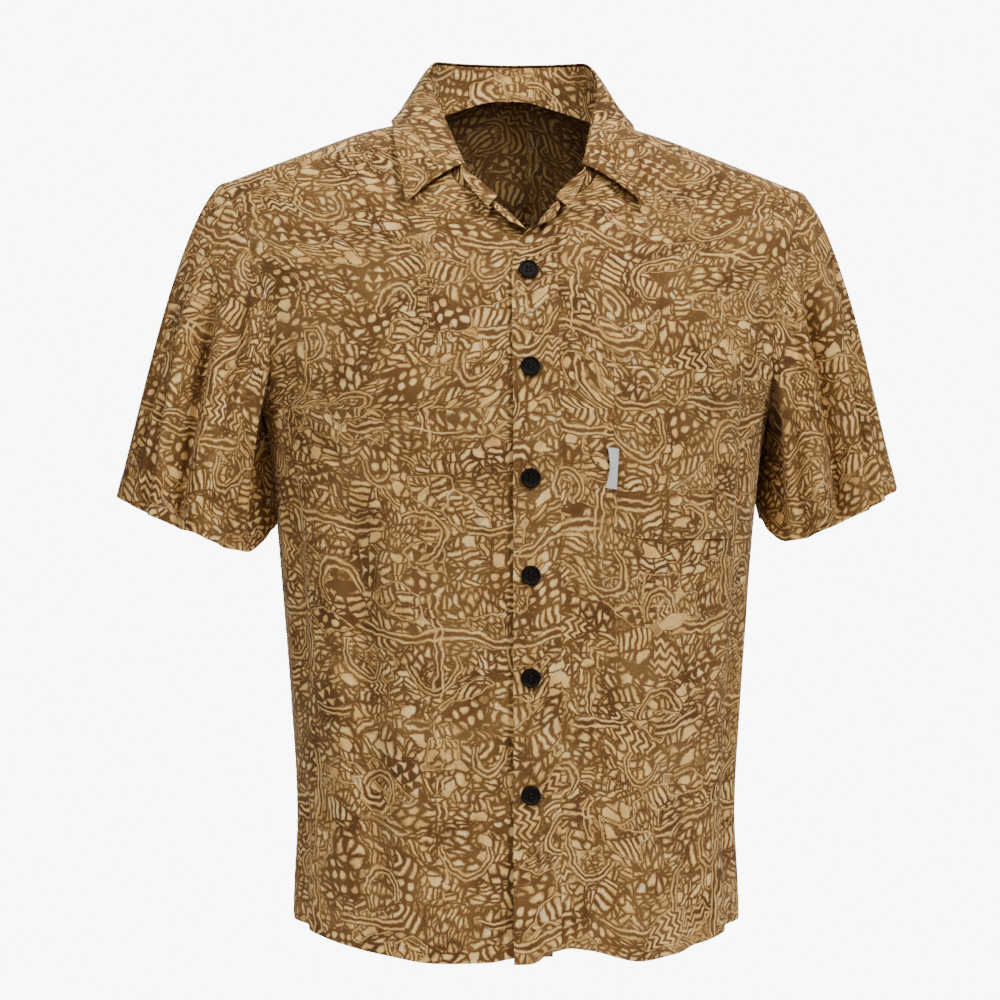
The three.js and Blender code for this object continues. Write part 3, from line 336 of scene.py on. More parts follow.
def around_at(x, level, at_front):
    """Degrees round from the centre front of a point that far from the centre line."""
    share = np.minimum(1, np.abs(x) / column(BODY, "level", level, "half_width"))
    angle = np.degrees(np.arcsin(share ** (1 / POWER)))
    return np.where(np.asarray(x) < 0, -1, 1) * np.where(at_front, angle, 180 - angle)


def unit(vectors):
    """The same directions, one long."""
    return vectors / np.maximum(np.linalg.norm(vectors, axis=-1, keepdims=True), 1e-9)


def outward(surface, u, v, step_u, step_v, middle):
    """Unit normals of a surface of two parameters, from the cross product of its central
    differences, turned away from a point in the middle."""
    along_u = surface(u + step_u, v) - surface(u - step_u, v)
    along_v = surface(u, v + step_v) - surface(u, v - step_v)
    normal = unit(np.cross(along_u, along_v))
    facing = np.sum(normal * (surface(u, v) - middle), axis=-1, keepdims=True)
    return np.where(facing < 0, -normal, normal)


def middle_of(points):
    """A place well inside the body, level with each point."""
    middle = np.zeros_like(points)
    middle[..., 2] = np.minimum(points[..., 2], UNDERARM + 60)
    return middle


def body_surface(around, level):
    """Points of the worn body, and its outward normals from steps of 0.1 and 0.4 degrees."""
    points = body_point(around, level)
    return points, outward(body_point, around, level, 0.1, 0.4, middle_of(points))


def armhole_x(level, side):
    """How far out the armhole lies at a level. The right shoulder is 5 mm wider at its top."""
    return column(ARMHOLE, "level", level, "x") + (5 * ease(45, 90, level) if side < 0 else 0)


def front_place(side, row_level, share):
    """Degrees round and level of a front, at a share of its width from the crease to the side.
    Rows climb by a seventh less at the armhole than at the neck."""
    crease = side * column(OPENING[side], "level", row_level, "crease")
    start = around_at(crease, row_level, True)
    drop = share * (NECK_TOP - ARM_TOP) / NECK_TOP
    level = np.where(row_level > 0, row_level * (1 - drop), row_level)
    on_armhole = around_at(side * armhole_x(level, side), level, True)
    end = np.where(row_level > 0, on_armhole, side * 90)
    return start + (end - start) * share, level


def front_level(row, hem_z):
    """Level of a front's row, from the height of its hem there."""
    return np.where(row < 0, -row * (hem_z - UNDERARM), row)


def front_surface(side, row, share):
    """A front by row and share of its width. A row from -1 to 0 runs from the hem to the underarm,
    and above 0 it is a level. The right front sinks under the left one along the opening."""
    hem = column(HEM[side], "around", 90 * share, "z")
    around, level = front_place(side, front_level(row, hem), share)
    points, normals = body_surface(around, level)
    if side < 0:
        tucked = ease(TUCK["from_x"], TUCK["full_x"], points[..., 0:1])
        points = points - normals * (TUCK["depth"] * tucked)
    return points, normals, level


ROLL_RADIUS = 4
ROLL_MOST = 155


def strip_surface(side, crease, crease_normal, level, distance):
    """The cloth beyond the crease: it rolls outwards round a 4 mm radius, as far as the curl and
    155 degrees at most, and runs on straight from there."""
    curl = column(OPENING[side], "level", level, "curl")
    towards = np.zeros_like(crease)
    towards[..., 0] = -side
    outside = np.sum(towards * crease_normal, axis=-1, keepdims=True)
    towards = unit(towards - crease_normal * outside)
    radius = ROLL_RADIUS / np.maximum(curl, 0.001)
    angle = np.minimum(distance / radius, np.radians(ROLL_MOST))
    straight = distance - angle * radius
    forward = (radius * np.sin(angle) + straight * np.cos(angle))[..., None]
    lift = (radius * (1 - np.cos(angle)) + straight * np.sin(angle))[..., None]
    points = crease + towards * forward + crease_normal * lift
    normals = crease_normal * np.cos(angle)[..., None] - towards * np.sin(angle)[..., None]
    return points, normals


BODY_ROWS = np.linspace(-1, 0, 150)[:-1]
CHEST_ROWS = np.concatenate(
    [np.linspace(0, 26, 44)[:-1], np.linspace(26, 46, 62)[:-1], np.linspace(46, NECK_TOP, 46)]
)
FRONT_ROWS = np.concatenate([BODY_ROWS, CHEST_ROWS])
BAND_WIDTH = 22.0  # from the centre of the front
BAND_SHARE = 0.2  # of a front's width, at most
STRIP_COLUMNS = 14
BAND_COLUMNS = 9
PANEL_COLUMNS = 104


def arc_lengths(points, axis):
    """Distance along the cloth from its first point, by adding up the steps."""
    steps = np.linalg.norm(np.diff(points, axis=axis), axis=-1)
    start = np.zeros_like(np.take(steps, [0], axis=axis))
    return np.concatenate([start, np.cumsum(steps, axis=axis)], axis=axis)


def band_share(side, rows):
    """Share of a front's width that lies under the band, from the width of its first fifth."""
    shape = (len(rows), 1)
    near = front_surface(side, rows[:, None], np.zeros(shape))[0]
    far = front_surface(side, rows[:, None], np.full(shape, BAND_SHARE))[0]
    width = np.linalg.norm(far - near, axis=-1)
    return np.minimum(BAND_SHARE, BAND_WIDTH * BAND_SHARE / width)


def band_grid(side, rows):
    """The front edge of a front: the cloth beyond the crease, then what lies beside it. The left
    one gapes, less with the distance from its edge and not at all after 22 mm."""
    crease, normal, level = front_surface(side, rows[:, None], np.zeros((len(rows), 1)))
    width = column(OPENING[side], "level", level, "strip")
    away = np.linspace(1, 0, STRIP_COLUMNS + 1)[None, :-1] * width
    strip, strip_normals = strip_surface(side, crease, normal, level, away)
    share = np.linspace(0, 1, BAND_COLUMNS)[None, :] * band_share(side, rows)
    beside, beside_normals, _ = front_surface(side, rows[:, None], share)
    points = np.concatenate([strip, beside], axis=1)
    normals = np.concatenate([strip_normals, beside_normals], axis=1)
    if side > 0:
        gape = column(EDGE_GAPE, "z", points[..., 2], "lift")
        gape = gape * (1 - ease(2, BAND_WIDTH, arc_lengths(points, 1)))
        points = points + normals * gape[..., None]
    return points, normals


def front_grid(side, rows):
    """A whole front: its front edge, then even steps of its width out to the side."""
    points, normals = band_grid(side, rows)
    inner = band_share(side, rows)
    share = inner + (1 - inner) * np.linspace(0, 1, PANEL_COLUMNS)[None, 1:]
    panel, panel_normals, _ = front_surface(side, rows[:, None], share)
    return np.concatenate([points, panel], axis=1), np.concatenate([normals, panel_normals], axis=1)


def cloth_map(points, start=(0, 0)):
    """Place on the flat cloth in metres: along the rows across the grain, and along the columns
    with it, from a start of the piece's own."""
    across = arc_lengths(points, 1)
    along = arc_lengths(points, 0)
    middle = points.shape[1] // 2
    across = across - across[:, middle : middle + 1]
    return np.stack([across / 1000 + start[0], along / 1000 + start[1]], axis=-1)


def flat_size(points):
    """Width, length and area of the flat cloth, in metres and square metres."""
    across = np.linalg.norm(np.diff(points, axis=1), axis=-1)
    along = np.linalg.norm(np.diff(points, axis=0), axis=-1)
    width = across.sum(axis=1).max() / 1000
    length = along.sum(axis=0).max() / 1000
    cell = np.cross(points[1:, 1:] - points[:-1, :-1], points[1:, :-1] - points[:-1, 1:])
    area = np.linalg.norm(cell, axis=-1).sum() / 2e6
    return (float(width), float(length)), float(min(area, width * length))


def place_piece(name, mesh):
    """Puts a mesh in the scene as a piece of the one body."""
    piece = bpy.data.objects.new(name, mesh)
    bpy.context.scene.collection.objects.link(piece)
    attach(piece, "root")
    return piece


def cloth_shell(name, points, normals, thickness, flat, looks, closed=False, facing=0):
    """A closed thin wall in metres from millimetres: the outer grid, the same grid moved in by the
    thickness, and a strip round the open edges, whose corners are sharp. The second look goes
    inside, but not on the first columns, as many as the facing is wide."""
    rows, columns = points.shape[:2]
    count = rows * columns
    corner = np.arange(count).reshape(rows, columns)
    if closed:
        corner = np.concatenate([corner, corner[:, :1]], axis=1)
    place = np.arange(corner.size).reshape(corner.shape)

    def faces_of(grid, inner):
        cells = [grid[:-1, :-1], grid[:-1, 1:], grid[1:, 1:], grid[1:, :-1]]
        cells = np.stack(cells, -1).reshape(-1, 4)
        edges = [grid[0, ::-1], grid[-1]]
        if not closed:
            edges += [grid[::-1, -1], grid[:, 0]]
        rim = [
            np.stack([edge[:-1], edge[1:], edge[1:] + inner, edge[:-1] + inner], -1)
            for edge in edges
        ]
        return np.concatenate([cells, cells[:, ::-1] + inner, *rim]), len(cells)

    faces, cells = faces_of(corner, count)
    places, _ = faces_of(place, 0)
    across = points[rows // 2, columns // 2 + 1] - points[rows // 2, columns // 2]
    along = points[rows // 2 + 1, columns // 2] - points[rows // 2, columns // 2]
    if np.dot(np.cross(across, along), normals[rows // 2, columns // 2]) < 0:
        faces, places = faces[:, ::-1], places[:, ::-1]
    vertices = np.concatenate([points, points - normals * thickness]).reshape(-1, 3) / 1000
    mesh = bpy.data.meshes.new(name)
    mesh.from_pydata(vertices.tolist(), [], faces.tolist())
    mesh.polygons.foreach_set("use_smooth", np.arange(len(faces)) < 2 * cells)
    inside = np.zeros((rows - 1, corner.shape[1] - 1), np.int32)
    inside[:, facing:] = len(looks) - 1
    slots = np.zeros(len(faces), np.int32)
    slots[cells : 2 * cells] = inside.ravel()
    mesh.polygons.foreach_set("material_index", slots)
    on_rim = np.zeros(2 * count, bool)
    on_rim[faces[2 * cells :]] = True
    ends = np.empty(2 * len(mesh.edges), np.int32)
    mesh.edges.foreach_get("vertices", ends)
    ends = ends.reshape(-1, 2)
    one_wall = (ends[:, 0] < count) == (ends[:, 1] < count)
    mesh.edges.foreach_set("use_edge_sharp", on_rim[ends].all(axis=1) & one_wall)
    layer = mesh.uv_layers.new(name="cloth")
    layer.data.foreach_set("uv", flat.reshape(-1, 2)[places].astype(np.float32).ravel())
    mesh.update()
    for look in looks:
        mesh.materials.append(look)
    return place_piece(name, mesh)


def smooth_piece(name, points, faces, look):
    """A smooth mesh in metres from millimetres, as one piece."""
    mesh = bpy.data.meshes.new(name)
    mesh.from_pydata((points / 1000).tolist(), [], faces)
    mesh.polygons.foreach_set("use_smooth", np.ones(len(mesh.polygons), bool))
    mesh.materials.append(look)
    return place_piece(name, mesh)


class Yarn:
    """A number on its way through a material. Arithmetic on it lays down Math nodes."""

    def __init__(self, tree, socket):
        self.tree = tree
        self.socket = socket

    def math(self, operation, *others, clamp=False):
        node = self.tree.nodes.new("ShaderNodeMath")
        node.operation = operation
        node.use_clamp = clamp
        for index, value in enumerate((self, *others)):
            if isinstance(value, Yarn):
                self.tree.links.new(value.socket, node.inputs[index])
            else:
                node.inputs[index].default_value = value
        return Yarn(self.tree, node.outputs[0])

    def __add__(self, other):
        return self.math("ADD", other)

    def __sub__(self, other):
        return self.math("SUBTRACT", other)

    def __mul__(self, other):
        return self.math("MULTIPLY", other)

    def __truediv__(self, other):
        return self.math("DIVIDE", other)

    def from_rows(self, half):
        """Distance from the nearest of evenly spaced lines, half a period at most."""
        return self.math("PINGPONG", half)

    def less(self, other):
        return self.math("MINIMUM", other)

    def more(self, other):
        return self.math("MAXIMUM", other)

    def fade(self, soft):
        """1 well inside a shape and 0 outside it, across a soft edge."""
        return (self / soft).math("ADD", 0.5, clamp=True)


def vector_of(tree, x, y):
    """A socket with two numbers as a vector."""
    node = tree.nodes.new("ShaderNodeCombineXYZ")
    tree.links.new(x.socket, node.inputs[0])
    tree.links.new(y.socket, node.inputs[1])
    return node.outputs[0]


def parts_of(tree, vector):
    """The three numbers of a vector socket."""
    node = tree.nodes.new("ShaderNodeSeparateXYZ")
    tree.links.new(vector, node.inputs[0])
    return [Yarn(tree, output) for output in node.outputs]


def noise(tree, vector, scale, detail=2.0):
    """Flat noise with that many swells to a unit of length."""
    node = tree.nodes.new("ShaderNodeTexNoise")
    node.noise_dimensions = "2D"
    node.inputs["Scale"].default_value = scale
    node.inputs["Detail"].default_value = detail
    tree.links.new(vector, node.inputs["Vector"])
    return node


def set_ramp(node, tones, dark):
    """Sets a colour ramp to tones at places between 0 and 1, each darkened alike."""
    elements = node.color_ramp.elements
    for _ in tones[2:]:
        elements.new(0.5)
    for element, (at, tone) in zip(elements, tones):
        element.position = at
        element.color = (*(part * dark for part in tone), 1)


def blend(tree, amount, low, high):
    """A mix of two colours, each a value or a socket."""
    node = tree.nodes.new("ShaderNodeMix")
    node.data_type = "RGBA"
    tree.links.new(amount.socket, node.inputs["Factor"])
    for name, colour in (("A", low), ("B", high)):
        socket = next(entry for entry in node.inputs if entry.name == name and entry.type == "RGBA")
        if isinstance(colour, tuple):
            socket.default_value = colour
        else:
            tree.links.new(colour, socket)
    return next(entry for entry in node.outputs if entry.type == "RGBA")


def cells_of(tree, place, feature, metric="EUCLIDEAN"):
    """Irregular cells one unit wide round scattered points."""
    node = tree.nodes.new("ShaderNodeTexVoronoi")
    node.voronoi_dimensions = "2D"
    node.feature = feature
    if feature != "DISTANCE_TO_EDGE":
        node.distance = metric
    node.inputs["Scale"].default_value = 1
    node.inputs["Randomness"].default_value = 0.85
    tree.links.new(place, node.inputs["Vector"])
    return node


def patchwork(tree, u, v, width, height, shift, loose=0.9):
    """Blocky patches about that many millimetres wide and high: distance to the patch's edge, a
    place within it, turned by about a multiple of a right angle, and two numbers of its own.
    The turn strays from the right angle by half the loose angle, in radians, at most."""
    place = vector_of(tree, u / width + shift, v / height + shift * 0.37)
    nearest = cells_of(tree, place, "F1", "CHEBYCHEV")
    next_nearest = cells_of(tree, place, "F2", "CHEBYCHEV")
    lead = Yarn(tree, next_nearest.outputs["Distance"]) - Yarn(tree, nearest.outputs["Distance"])
    edge = lead * (height / 2)
    x, y, _ = parts_of(tree, place)
    centre_x, centre_y, _ = parts_of(tree, nearest.outputs["Position"])
    colour = tree.nodes.new("ShaderNodeSeparateColor")
    tree.links.new(nearest.outputs["Color"], colour.inputs[0])
    first, second, third = (Yarn(tree, output) for output in colour.outputs)
    turn = (second * 4).math("FLOOR") * (math.pi / 2) + (third - 0.5) * loose
    across, up = (x - centre_x) * width, (y - centre_y) * height
    sine, cosine = turn.math("SINE"), turn.math("COSINE")
    return edge, across * cosine - up * sine, across * sine + up * cosine, first, third


def leaf_strokes(tree, p, q, first, third):
    """Rows of cut strokes, two to three times as long as they are wide, larger in some patches."""
    size = third * 0.75 + 0.75
    place = vector_of(tree, p / (size * 10.5) + first * 19, q / (size * 4.9) + third * 23)
    border = Yarn(tree, cells_of(tree, place, "DISTANCE_TO_EDGE").outputs["Distance"])
    return (border - 0.17) * 4.9 * size


STROKE_PATCH = (12.5, 10.5, 8.1)


def scattered_strokes(tree, u, v):
    """Short strokes that each point their own way, with a rounded chip here and there."""
    edge, p, _, pick, _ = patchwork(tree, u, v, *STROKE_PATCH, loose=6.3)
    beside = p.math("ABSOLUTE")
    stroke = (beside * -1 + 1.9).more((beside - 5.2).math("ABSOLUTE") * -1 + 1.3)
    chip = pick.math("GREATER_THAN", 0.75) * 6
    return stroke.more(chip - 3).less(edge * 1.5 - 0.8)


def motifs(tree, p, q, u, v, pick, spare):
    """Hand-cut printing blocks, one to a patch: each is how far inside its shapes a place lies.
    Most patches hold strokes, and the others bars, dots, arcs, teeth or chevrons."""
    rows_of_strokes = leaf_strokes(tree, p, q, pick, spare)
    loose_strokes = scattered_strokes(tree, u, v)
    beside = p.math("ABSOLUTE")
    # Bars 18 mm long, 3.8 mm wide and 6.2 mm apart, with strokes beside them.
    bars = (beside * -1 + 9).less(q.from_rows(3.1) * -1 + 1.9)
    bars = bars.more(loose_strokes.less(beside - 10.6))
    # Dots 7 mm across.
    dot_p, dot_q = p.from_rows(5.1), q.from_rows(4.7)
    dots = (dot_p * dot_p + dot_q * dot_q).math("SQRT") * -1 + 3.5
    # Arcs 3.8 mm wide and 7.2 mm apart, over a few strokes.
    far = (p * p + (q + 7) * (q + 7)).math("SQRT")
    arcs = (far.from_rows(3.6) * -1 + 1.9).less(q + 6).more(loose_strokes.less(q * -1 - 7.2))
    # Teeth in rows 9 mm apart, then chevrons 7 mm apart.
    climb = (q / 9.0).math("FRACT") * 9
    teeth = ((climb * -1 + 8.2) * 0.55 - p.from_rows(4.6)).less(climb - 0.6)
    chevrons = (q + p.from_rows(5.2)).from_rows(3.5) * -1 + 1.9
    # Of the patches, 30% hold strokes in rows and 38% loose ones. The others share the rest.
    in_rows = pick.math("LESS_THAN", 0.3)
    total = rows_of_strokes * in_rows + loose_strokes * (pick.math("LESS_THAN", 0.68) - in_rows)
    for number, shape in enumerate((bars, dots, bars, arcs, teeth, dots, chevrons, bars)):
        chosen = (pick * 25).math("FLOOR").math("COMPARE", float(number + 17), 0.4)
        total = total + shape * chosen
    return total


def wandering_lines(across, apart, kept):
    """Pairs of long lines that come and go: how far inside a line a place lies, and how far clear
    of the pair it is. The lines show where the kept number is above a half."""
    away = across.from_rows(apart / 2)
    hidden = (kept * -1 + 0.5) * 60
    line = ((away - 2.9).math("ABSOLUTE") * -1 + 1.3).less(hidden * -1)
    return line, (away - 5.2).more(hidden)


# Width, height and shift of the patches of the print, in millimetres on the flat cloth.
BLOCK_PATCH = (33.0, 25.0, 3.7)
ARCH_PATCH = (96.0, 84.0, 5.3)
LEVEL_LINES_APART = 86.0
UPRIGHT_LINES_APART = 132.0
YARN_SPACING = 0.42


def bump(tree, shader, height, strength, distance):
    """Relief from a height, at most that many metres deep."""
    node = tree.nodes.new("ShaderNodeBump")
    node.inputs["Strength"].default_value = strength
    node.inputs["Distance"].default_value = distance
    tree.links.new(height.socket, node.inputs["Height"])
    tree.links.new(node.outputs[0], shader.inputs["Normal"])


def printed_cotton(name, strength=1.0, dark=1.0):
    """Brown plain-weave cotton with a cream block print: patches of hand-cut motifs between long
    wandering lines and arches, softly edged, over a mottled ground, with the weave in relief. The
    strength fades the print, and dark darkens every colour alike: painted shade, where it is below
    1."""
    look, tree, shader = new_look(name)
    flat = tree.nodes.new("ShaderNodeUVMap")
    flat.uv_map = "cloth"
    u, v, _ = parts_of(tree, flat.outputs[0])
    u, v = u * 1000, v * 1000
    straight = vector_of(tree, u, v)
    slow = parts_of(tree, noise(tree, straight, 0.013, 1).outputs["Color"])
    quick = parts_of(tree, noise(tree, straight, 0.075, 1).outputs["Color"])
    wavy_u = u + (slow[0] - 0.5) * 20 + (quick[0] - 0.5) * 6
    wavy_v = v + (slow[1] - 0.5) * 20 + (quick[1] - 0.5) * 6

    edge, p, q, pick, spare = patchwork(tree, wavy_u, wavy_v, *BLOCK_PATCH)
    blocks = motifs(tree, p, q, wavy_u, wavy_v, pick, spare).less(edge - 0.9)
    outline = (edge * -1 + 1.0) - spare.math("GREATER_THAN", 0.15) * 3
    blocks = blocks.more(outline)

    level, clear_level = wandering_lines(wavy_v + slow[2] * 30, LEVEL_LINES_APART, slow[2])
    upright_kept = quick[2] * 0.4 + slow[0] * 0.6
    upright, clear_upright = wandering_lines(
        wavy_u + quick[2] * 8, UPRIGHT_LINES_APART, upright_kept
    )
    _, arch_p, arch_q, arch_pick, _ = patchwork(tree, wavy_u, wavy_v, *ARCH_PATCH)
    arch_far = (arch_p * arch_p + arch_q * arch_q * 0.6).math("SQRT")
    arch_away = (arch_far - (arch_pick * 10 + 12)).math("ABSOLUTE")
    arch_hidden = arch_q * -1 - 4
    arch = ((arch_away - 1.9).math("ABSOLUTE") * -1 + 1.0).less(arch_hidden * -1)
    clear_arch = (arch_away - 3.8).more(arch_hidden)
    blocks = blocks.less(clear_level.less(clear_upright).less(clear_arch))
    blocks = blocks.more(level.more(upright).more(arch))

    rough = Yarn(tree, noise(tree, straight, 0.4, 2).outputs["Fac"])
    worn = Yarn(tree, noise(tree, straight, 0.06, 2).outputs["Fac"])
    blocks = blocks + (rough - 0.5) * 1.3 + (worn - 0.5) * 1.0
    printed = blocks.fade(1.0)
    core = (blocks - 0.7).fade(1.2)

    mottle = Yarn(tree, noise(tree, straight, 0.022, 3).outputs["Fac"])
    ground = tree.nodes.new("ShaderNodeValToRGB")
    tones = (
        (0.3, (0.092, 0.038, 0.010)),
        (0.5, (0.150, 0.067, 0.018)),
        (0.72, (0.190, 0.096, 0.029)),
    )
    set_ramp(ground, tones, dark)
    tree.links.new(mottle.socket, ground.inputs[0])
    cream = tree.nodes.new("ShaderNodeValToRGB")
    tones = (
        (0.28, (0.64, 0.34, 0.10)),
        (0.5, (0.84, 0.54, 0.18)),
        (0.66, (0.88, 0.63, 0.27)),
        (0.8, (0.66, 0.54, 0.34)),
    )
    set_ramp(cream, tones, dark)
    fleck = Yarn(tree, noise(tree, straight, 0.05, 3).outputs["Fac"])
    tree.links.new(fleck.socket, cream.inputs[0])

    tan = (0.43 * dark, 0.235 * dark, 0.075 * dark, 1)
    stroke = blend(tree, core, tan, cream.outputs[0])
    colour = blend(tree, printed * strength, ground.outputs[0], stroke)
    tree.links.new(colour, shader.inputs["Base Color"])
    warp = (u * (math.pi / YARN_SPACING)).math("SINE")
    weft = (v * (math.pi / YARN_SPACING)).math("SINE")
    slub = Yarn(tree, noise(tree, straight, 0.9, 3).outputs["Fac"])
    bump(tree, shader, warp * weft * 0.35 + slub, 0.28, 0.0004)
    roughness = printed * -0.08 + (slub * 0.12 + 0.8)
    tree.links.new(roughness.socket, shader.inputs["Roughness"])
    shader.inputs["Sheen Weight"].default_value = 0.05
    shader.inputs["Sheen Roughness"].default_value = 0.5
    shader.inputs["Specular IOR Level"].default_value = 0.2
    return look


PRINT = printed_cotton("printed_cotton")
# The inside look is the wrong side of the cloth, whose print is fainter, with every colour darkened
# to 0.72 as painted shade inside the shirt.
PRINT_INSIDE_SHADED = printed_cotton("printed_cotton_inside_shaded", strength=0.55, dark=0.72)
BOTH_SIDES = [PRINT, PRINT_INSIDE_SHADED]
SIDE_NAMES = {-1: "right", 1: "left"}
CLOTH_THICKNESS = 0.5
HEM_LINE = 20
SEAM_LINE = 5
FACING_LINE = 24


def furrow(distance, place, width):
    """1 in the middle of a line of stitching, and falling away on both sides like a bell."""
    return np.exp(-(((distance - place) / width) ** 2))


def folded_hem(distance, height):
    """A raised hem 22 mm deep, by the distance from its edge, with a furrow at its stitching."""
    return height * (1 - ease(19, 22, distance)) - 0.3 * furrow(distance, 20.5, 1.1)


def seam_relief(points, normals, edge_distance, hem_distance):
    """Small raised and puckered strips along sewn edges: a ridge that fades over 3 mm from the
    seam, ripples along it 11 mm apart that fade over 14 mm, and a folded hem 22 mm deep."""
    along = arc_lengths(points, 0)
    ridge = 0.35 * furrow(edge_distance, 4, 2.4)
    wave = np.sin(along * 2 * np.pi / 11 + np.sin(along / 17))
    ripple = 0.28 * wave * np.exp(-edge_distance / 9)
    return points + normals * (ridge + ripple + folded_hem(hem_distance, 0.35))[..., None]


def front_piece(side):
    """One front as a piece of the scene, with its grid for the stitching."""
    points, normals = front_grid(side, FRONT_ROWS)
    across = arc_lengths(points, 1)
    from_side = across[:, -1:] - across
    from_hem = arc_lengths(points, 0)
    points = seam_relief(points, normals, from_side, from_hem)
    name = f"front_{SIDE_NAMES[side]}_cloth"
    flat = cloth_map(points, (0.21 * side + 0.4, 0.13 * side))
    piece = cloth_shell(
        name, points, normals, CLOTH_THICKNESS, flat, BOTH_SIDES, facing=STRIP_COLUMNS
    )
    size, area = flat_size(points)
    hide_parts(f"front_{SIDE_NAMES[side]}")
    return points, normals


right_points, right_normals = front_piece(-1)
left_points, left_normals = front_piece(1)

# The lower edge is folded up 20 mm and stitched, and each side seam has a line beside it.


def speckled(name, scale, low, high, roughness, detail=2.0, ends=(0, 1)):
    """A plain material that goes between two tones in fine specks, with its noise and shader."""
    look, tree, shader = new_look(name)
    place = tree.nodes.new("ShaderNodeTexCoord")
    specks = tree.nodes.new("ShaderNodeTexNoise")
    specks.inputs["Scale"].default_value = scale
    specks.inputs["Detail"].default_value = detail
    tree.links.new(place.outputs["Object"], specks.inputs["Vector"])
    ramp = tree.nodes.new("ShaderNodeValToRGB")
    set_ramp(ramp, tuple(zip(ends, (low, high))), 1)
    tree.links.new(specks.outputs["Fac"], ramp.inputs[0])
    tree.links.new(ramp.outputs[0], shader.inputs["Base Color"])
    shader.inputs["Roughness"].default_value = roughness
    return look, specks, shader


THREAD, _, thread_shader = speckled(
    "brown_thread", 900, (0.10, 0.055, 0.022), (0.26, 0.165, 0.075), 0.6
)
thread_shader.inputs["Sheen Weight"].default_value = 0.2


def line_beside(points, normals, edge, distance, lift=0.12):
    """The line a distance inside one edge of a grid of cloth, lifted off it."""
    if edge in ("bottom", "top"):
        points, normals = points.swapaxes(0, 1), normals.swapaxes(0, 1)
    if edge in ("top", "last"):
        points, normals = points[:, ::-1], normals[:, ::-1]
    across = arc_lengths(points, 1)
    low = np.clip((across < distance).sum(axis=1) - 1, 0, across.shape[1] - 2)
    row = np.arange(len(points))
    step = np.maximum(across[row, low + 1] - across[row, low], 1e-6)
    t = ((distance - across[row, low]) / step)[:, None]
    normal = normals[row, low]
    return points[row, low] * (1 - t) + points[row, low + 1] * t + normal * lift, normal


def read_path(values, reached, at):
    """Vectors along a path, read at some lengths of it."""
    return np.stack([np.interp(at, reached, values[:, k]) for k in range(3)], -1)


def stitches(name, runs, length=1.9, gap=0.8, width=0.5):
    """Lines of thread stitches as one mesh. Along each path, at even steps of its length, lies a
    six-cornered lens: pointed at both ends, wide in the middle and a little proud of the cloth."""
    all_points, all_faces, used = [], [], 0
    over = [[0, 2, 4], [2, 1, 4], [1, 3, 4], [3, 0, 4]]
    under = [[2, 0, 5], [1, 2, 5], [3, 1, 5], [0, 3, 5]]
    lens = np.array(over + under)
    for path, normals in runs:
        reached = arc_lengths(path[None], 1)[0]
        count = int(reached[-1] // (length + gap))
        middle = (np.arange(count) + 0.5) * (length + gap)
        centre = read_path(path, reached, middle)
        normal = unit(read_path(normals, reached, middle))
        before, after = (read_path(path, reached, middle + step) for step in (-0.4, 0.4))
        ahead = unit(after - before)
        sideways = np.cross(normal, ahead)
        corners = np.stack(
            [
                centre + ahead * length / 2 - normal * 0.1,
                centre - ahead * length / 2 - normal * 0.1,
                centre + sideways * width / 2,
                centre - sideways * width / 2,
                centre + normal * width * 0.45,
                centre - normal * width * 0.3,
            ],
            axis=1,
        )
        all_points.append(corners.reshape(-1, 3))
        all_faces.append((np.arange(count)[:, None, None] * 6 + lens[None] + used).reshape(-1, 3))
        used += 6 * count
    smooth_piece(name, np.concatenate(all_points), np.concatenate(all_faces).tolist(), THREAD)


from_edge = slice(STRIP_COLUMNS, None)
from_band = slice(STRIP_COLUMNS + BAND_COLUMNS, None)
stitches(
    "front_stitches",
    [
        line_beside(right_points[:, from_edge], right_normals[:, from_edge], "bottom", HEM_LINE),
        line_beside(left_points[:, from_band], left_normals[:, from_band], "bottom", HEM_LINE),
        line_beside(right_points, right_normals, "last", SEAM_LINE),
        line_beside(left_points, left_normals, "last", SEAM_LINE),
        line_beside(right_points, right_normals, "first", FACING_LINE),
    ],
)

# ---------------------------------------------------------------- front band
# The band is a folded strip of the same cloth on the left front's edge, 36 mm wide, sewn down
# along both edges. Its top is turned out with the neck corner of the front.

BAND_ROWS = FRONT_ROWS[FRONT_ROWS <= 38]


def band_surface():
    """The front edge's grid lifted 1.5 mm off the front, less along both sewn edges, with a fine
    pucker along each line of stitching."""
    points, normals = band_grid(1, BAND_ROWS)
    across = arc_lengths(points, 1)
    along = arc_lengths(points, 0)
    edge = np.minimum(across, across[:, -1:] - across)
    lift = 1.05 + 0.4 * ease(0, 4, edge) - 0.28 * furrow(edge, SEAM_LINE, 1.0)
    wave = np.sin(along * 2 * np.pi / 9 + np.sin(along / 23) * 2)
    pucker = 0.14 * wave * furrow(edge, SEAM_LINE, 3.5)
    return points + normals * (lift + pucker)[..., None], normals


band_points, band_normals = band_surface()
band_flat = cloth_map(band_points, (0.83, 0.31))
band = cloth_shell("front_band", band_points, band_normals, 0.6, band_flat, [PRINT])
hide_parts("placket")
band_size, band_area = flat_size(band_points)
stitches(
    "band_stitches",
    [
        line_beside(band_points, band_normals, "first", SEAM_LINE),
        line_beside(band_points, band_normals, "last", SEAM_LINE),
    ],
)

# ---------------------------------------------------------------- back
# One panel from side seam to side seam, hanging from the yoke, with its lower edge folded up.

BACK_SEAM = -95
BACK_LEVELS = np.linspace(0, 90, 2001)
BACK_COLUMNS = 181
BACK_HEM = {"around": [90, 110, 140, 180], "z": [-719, -731, -746, -750]}


def back_seam_end(side):
    """Level at which the armhole's edge is as high as the yoke seam."""
    x = side * armhole_x(BACK_LEVELS, side)
    heights = body_point(around_at(x, BACK_LEVELS, False), BACK_LEVELS)[..., 2]
    return float(np.interp(BACK_SEAM, heights, BACK_LEVELS))


SEAM_END = {side: back_seam_end(side) for side in (-1, 1)}


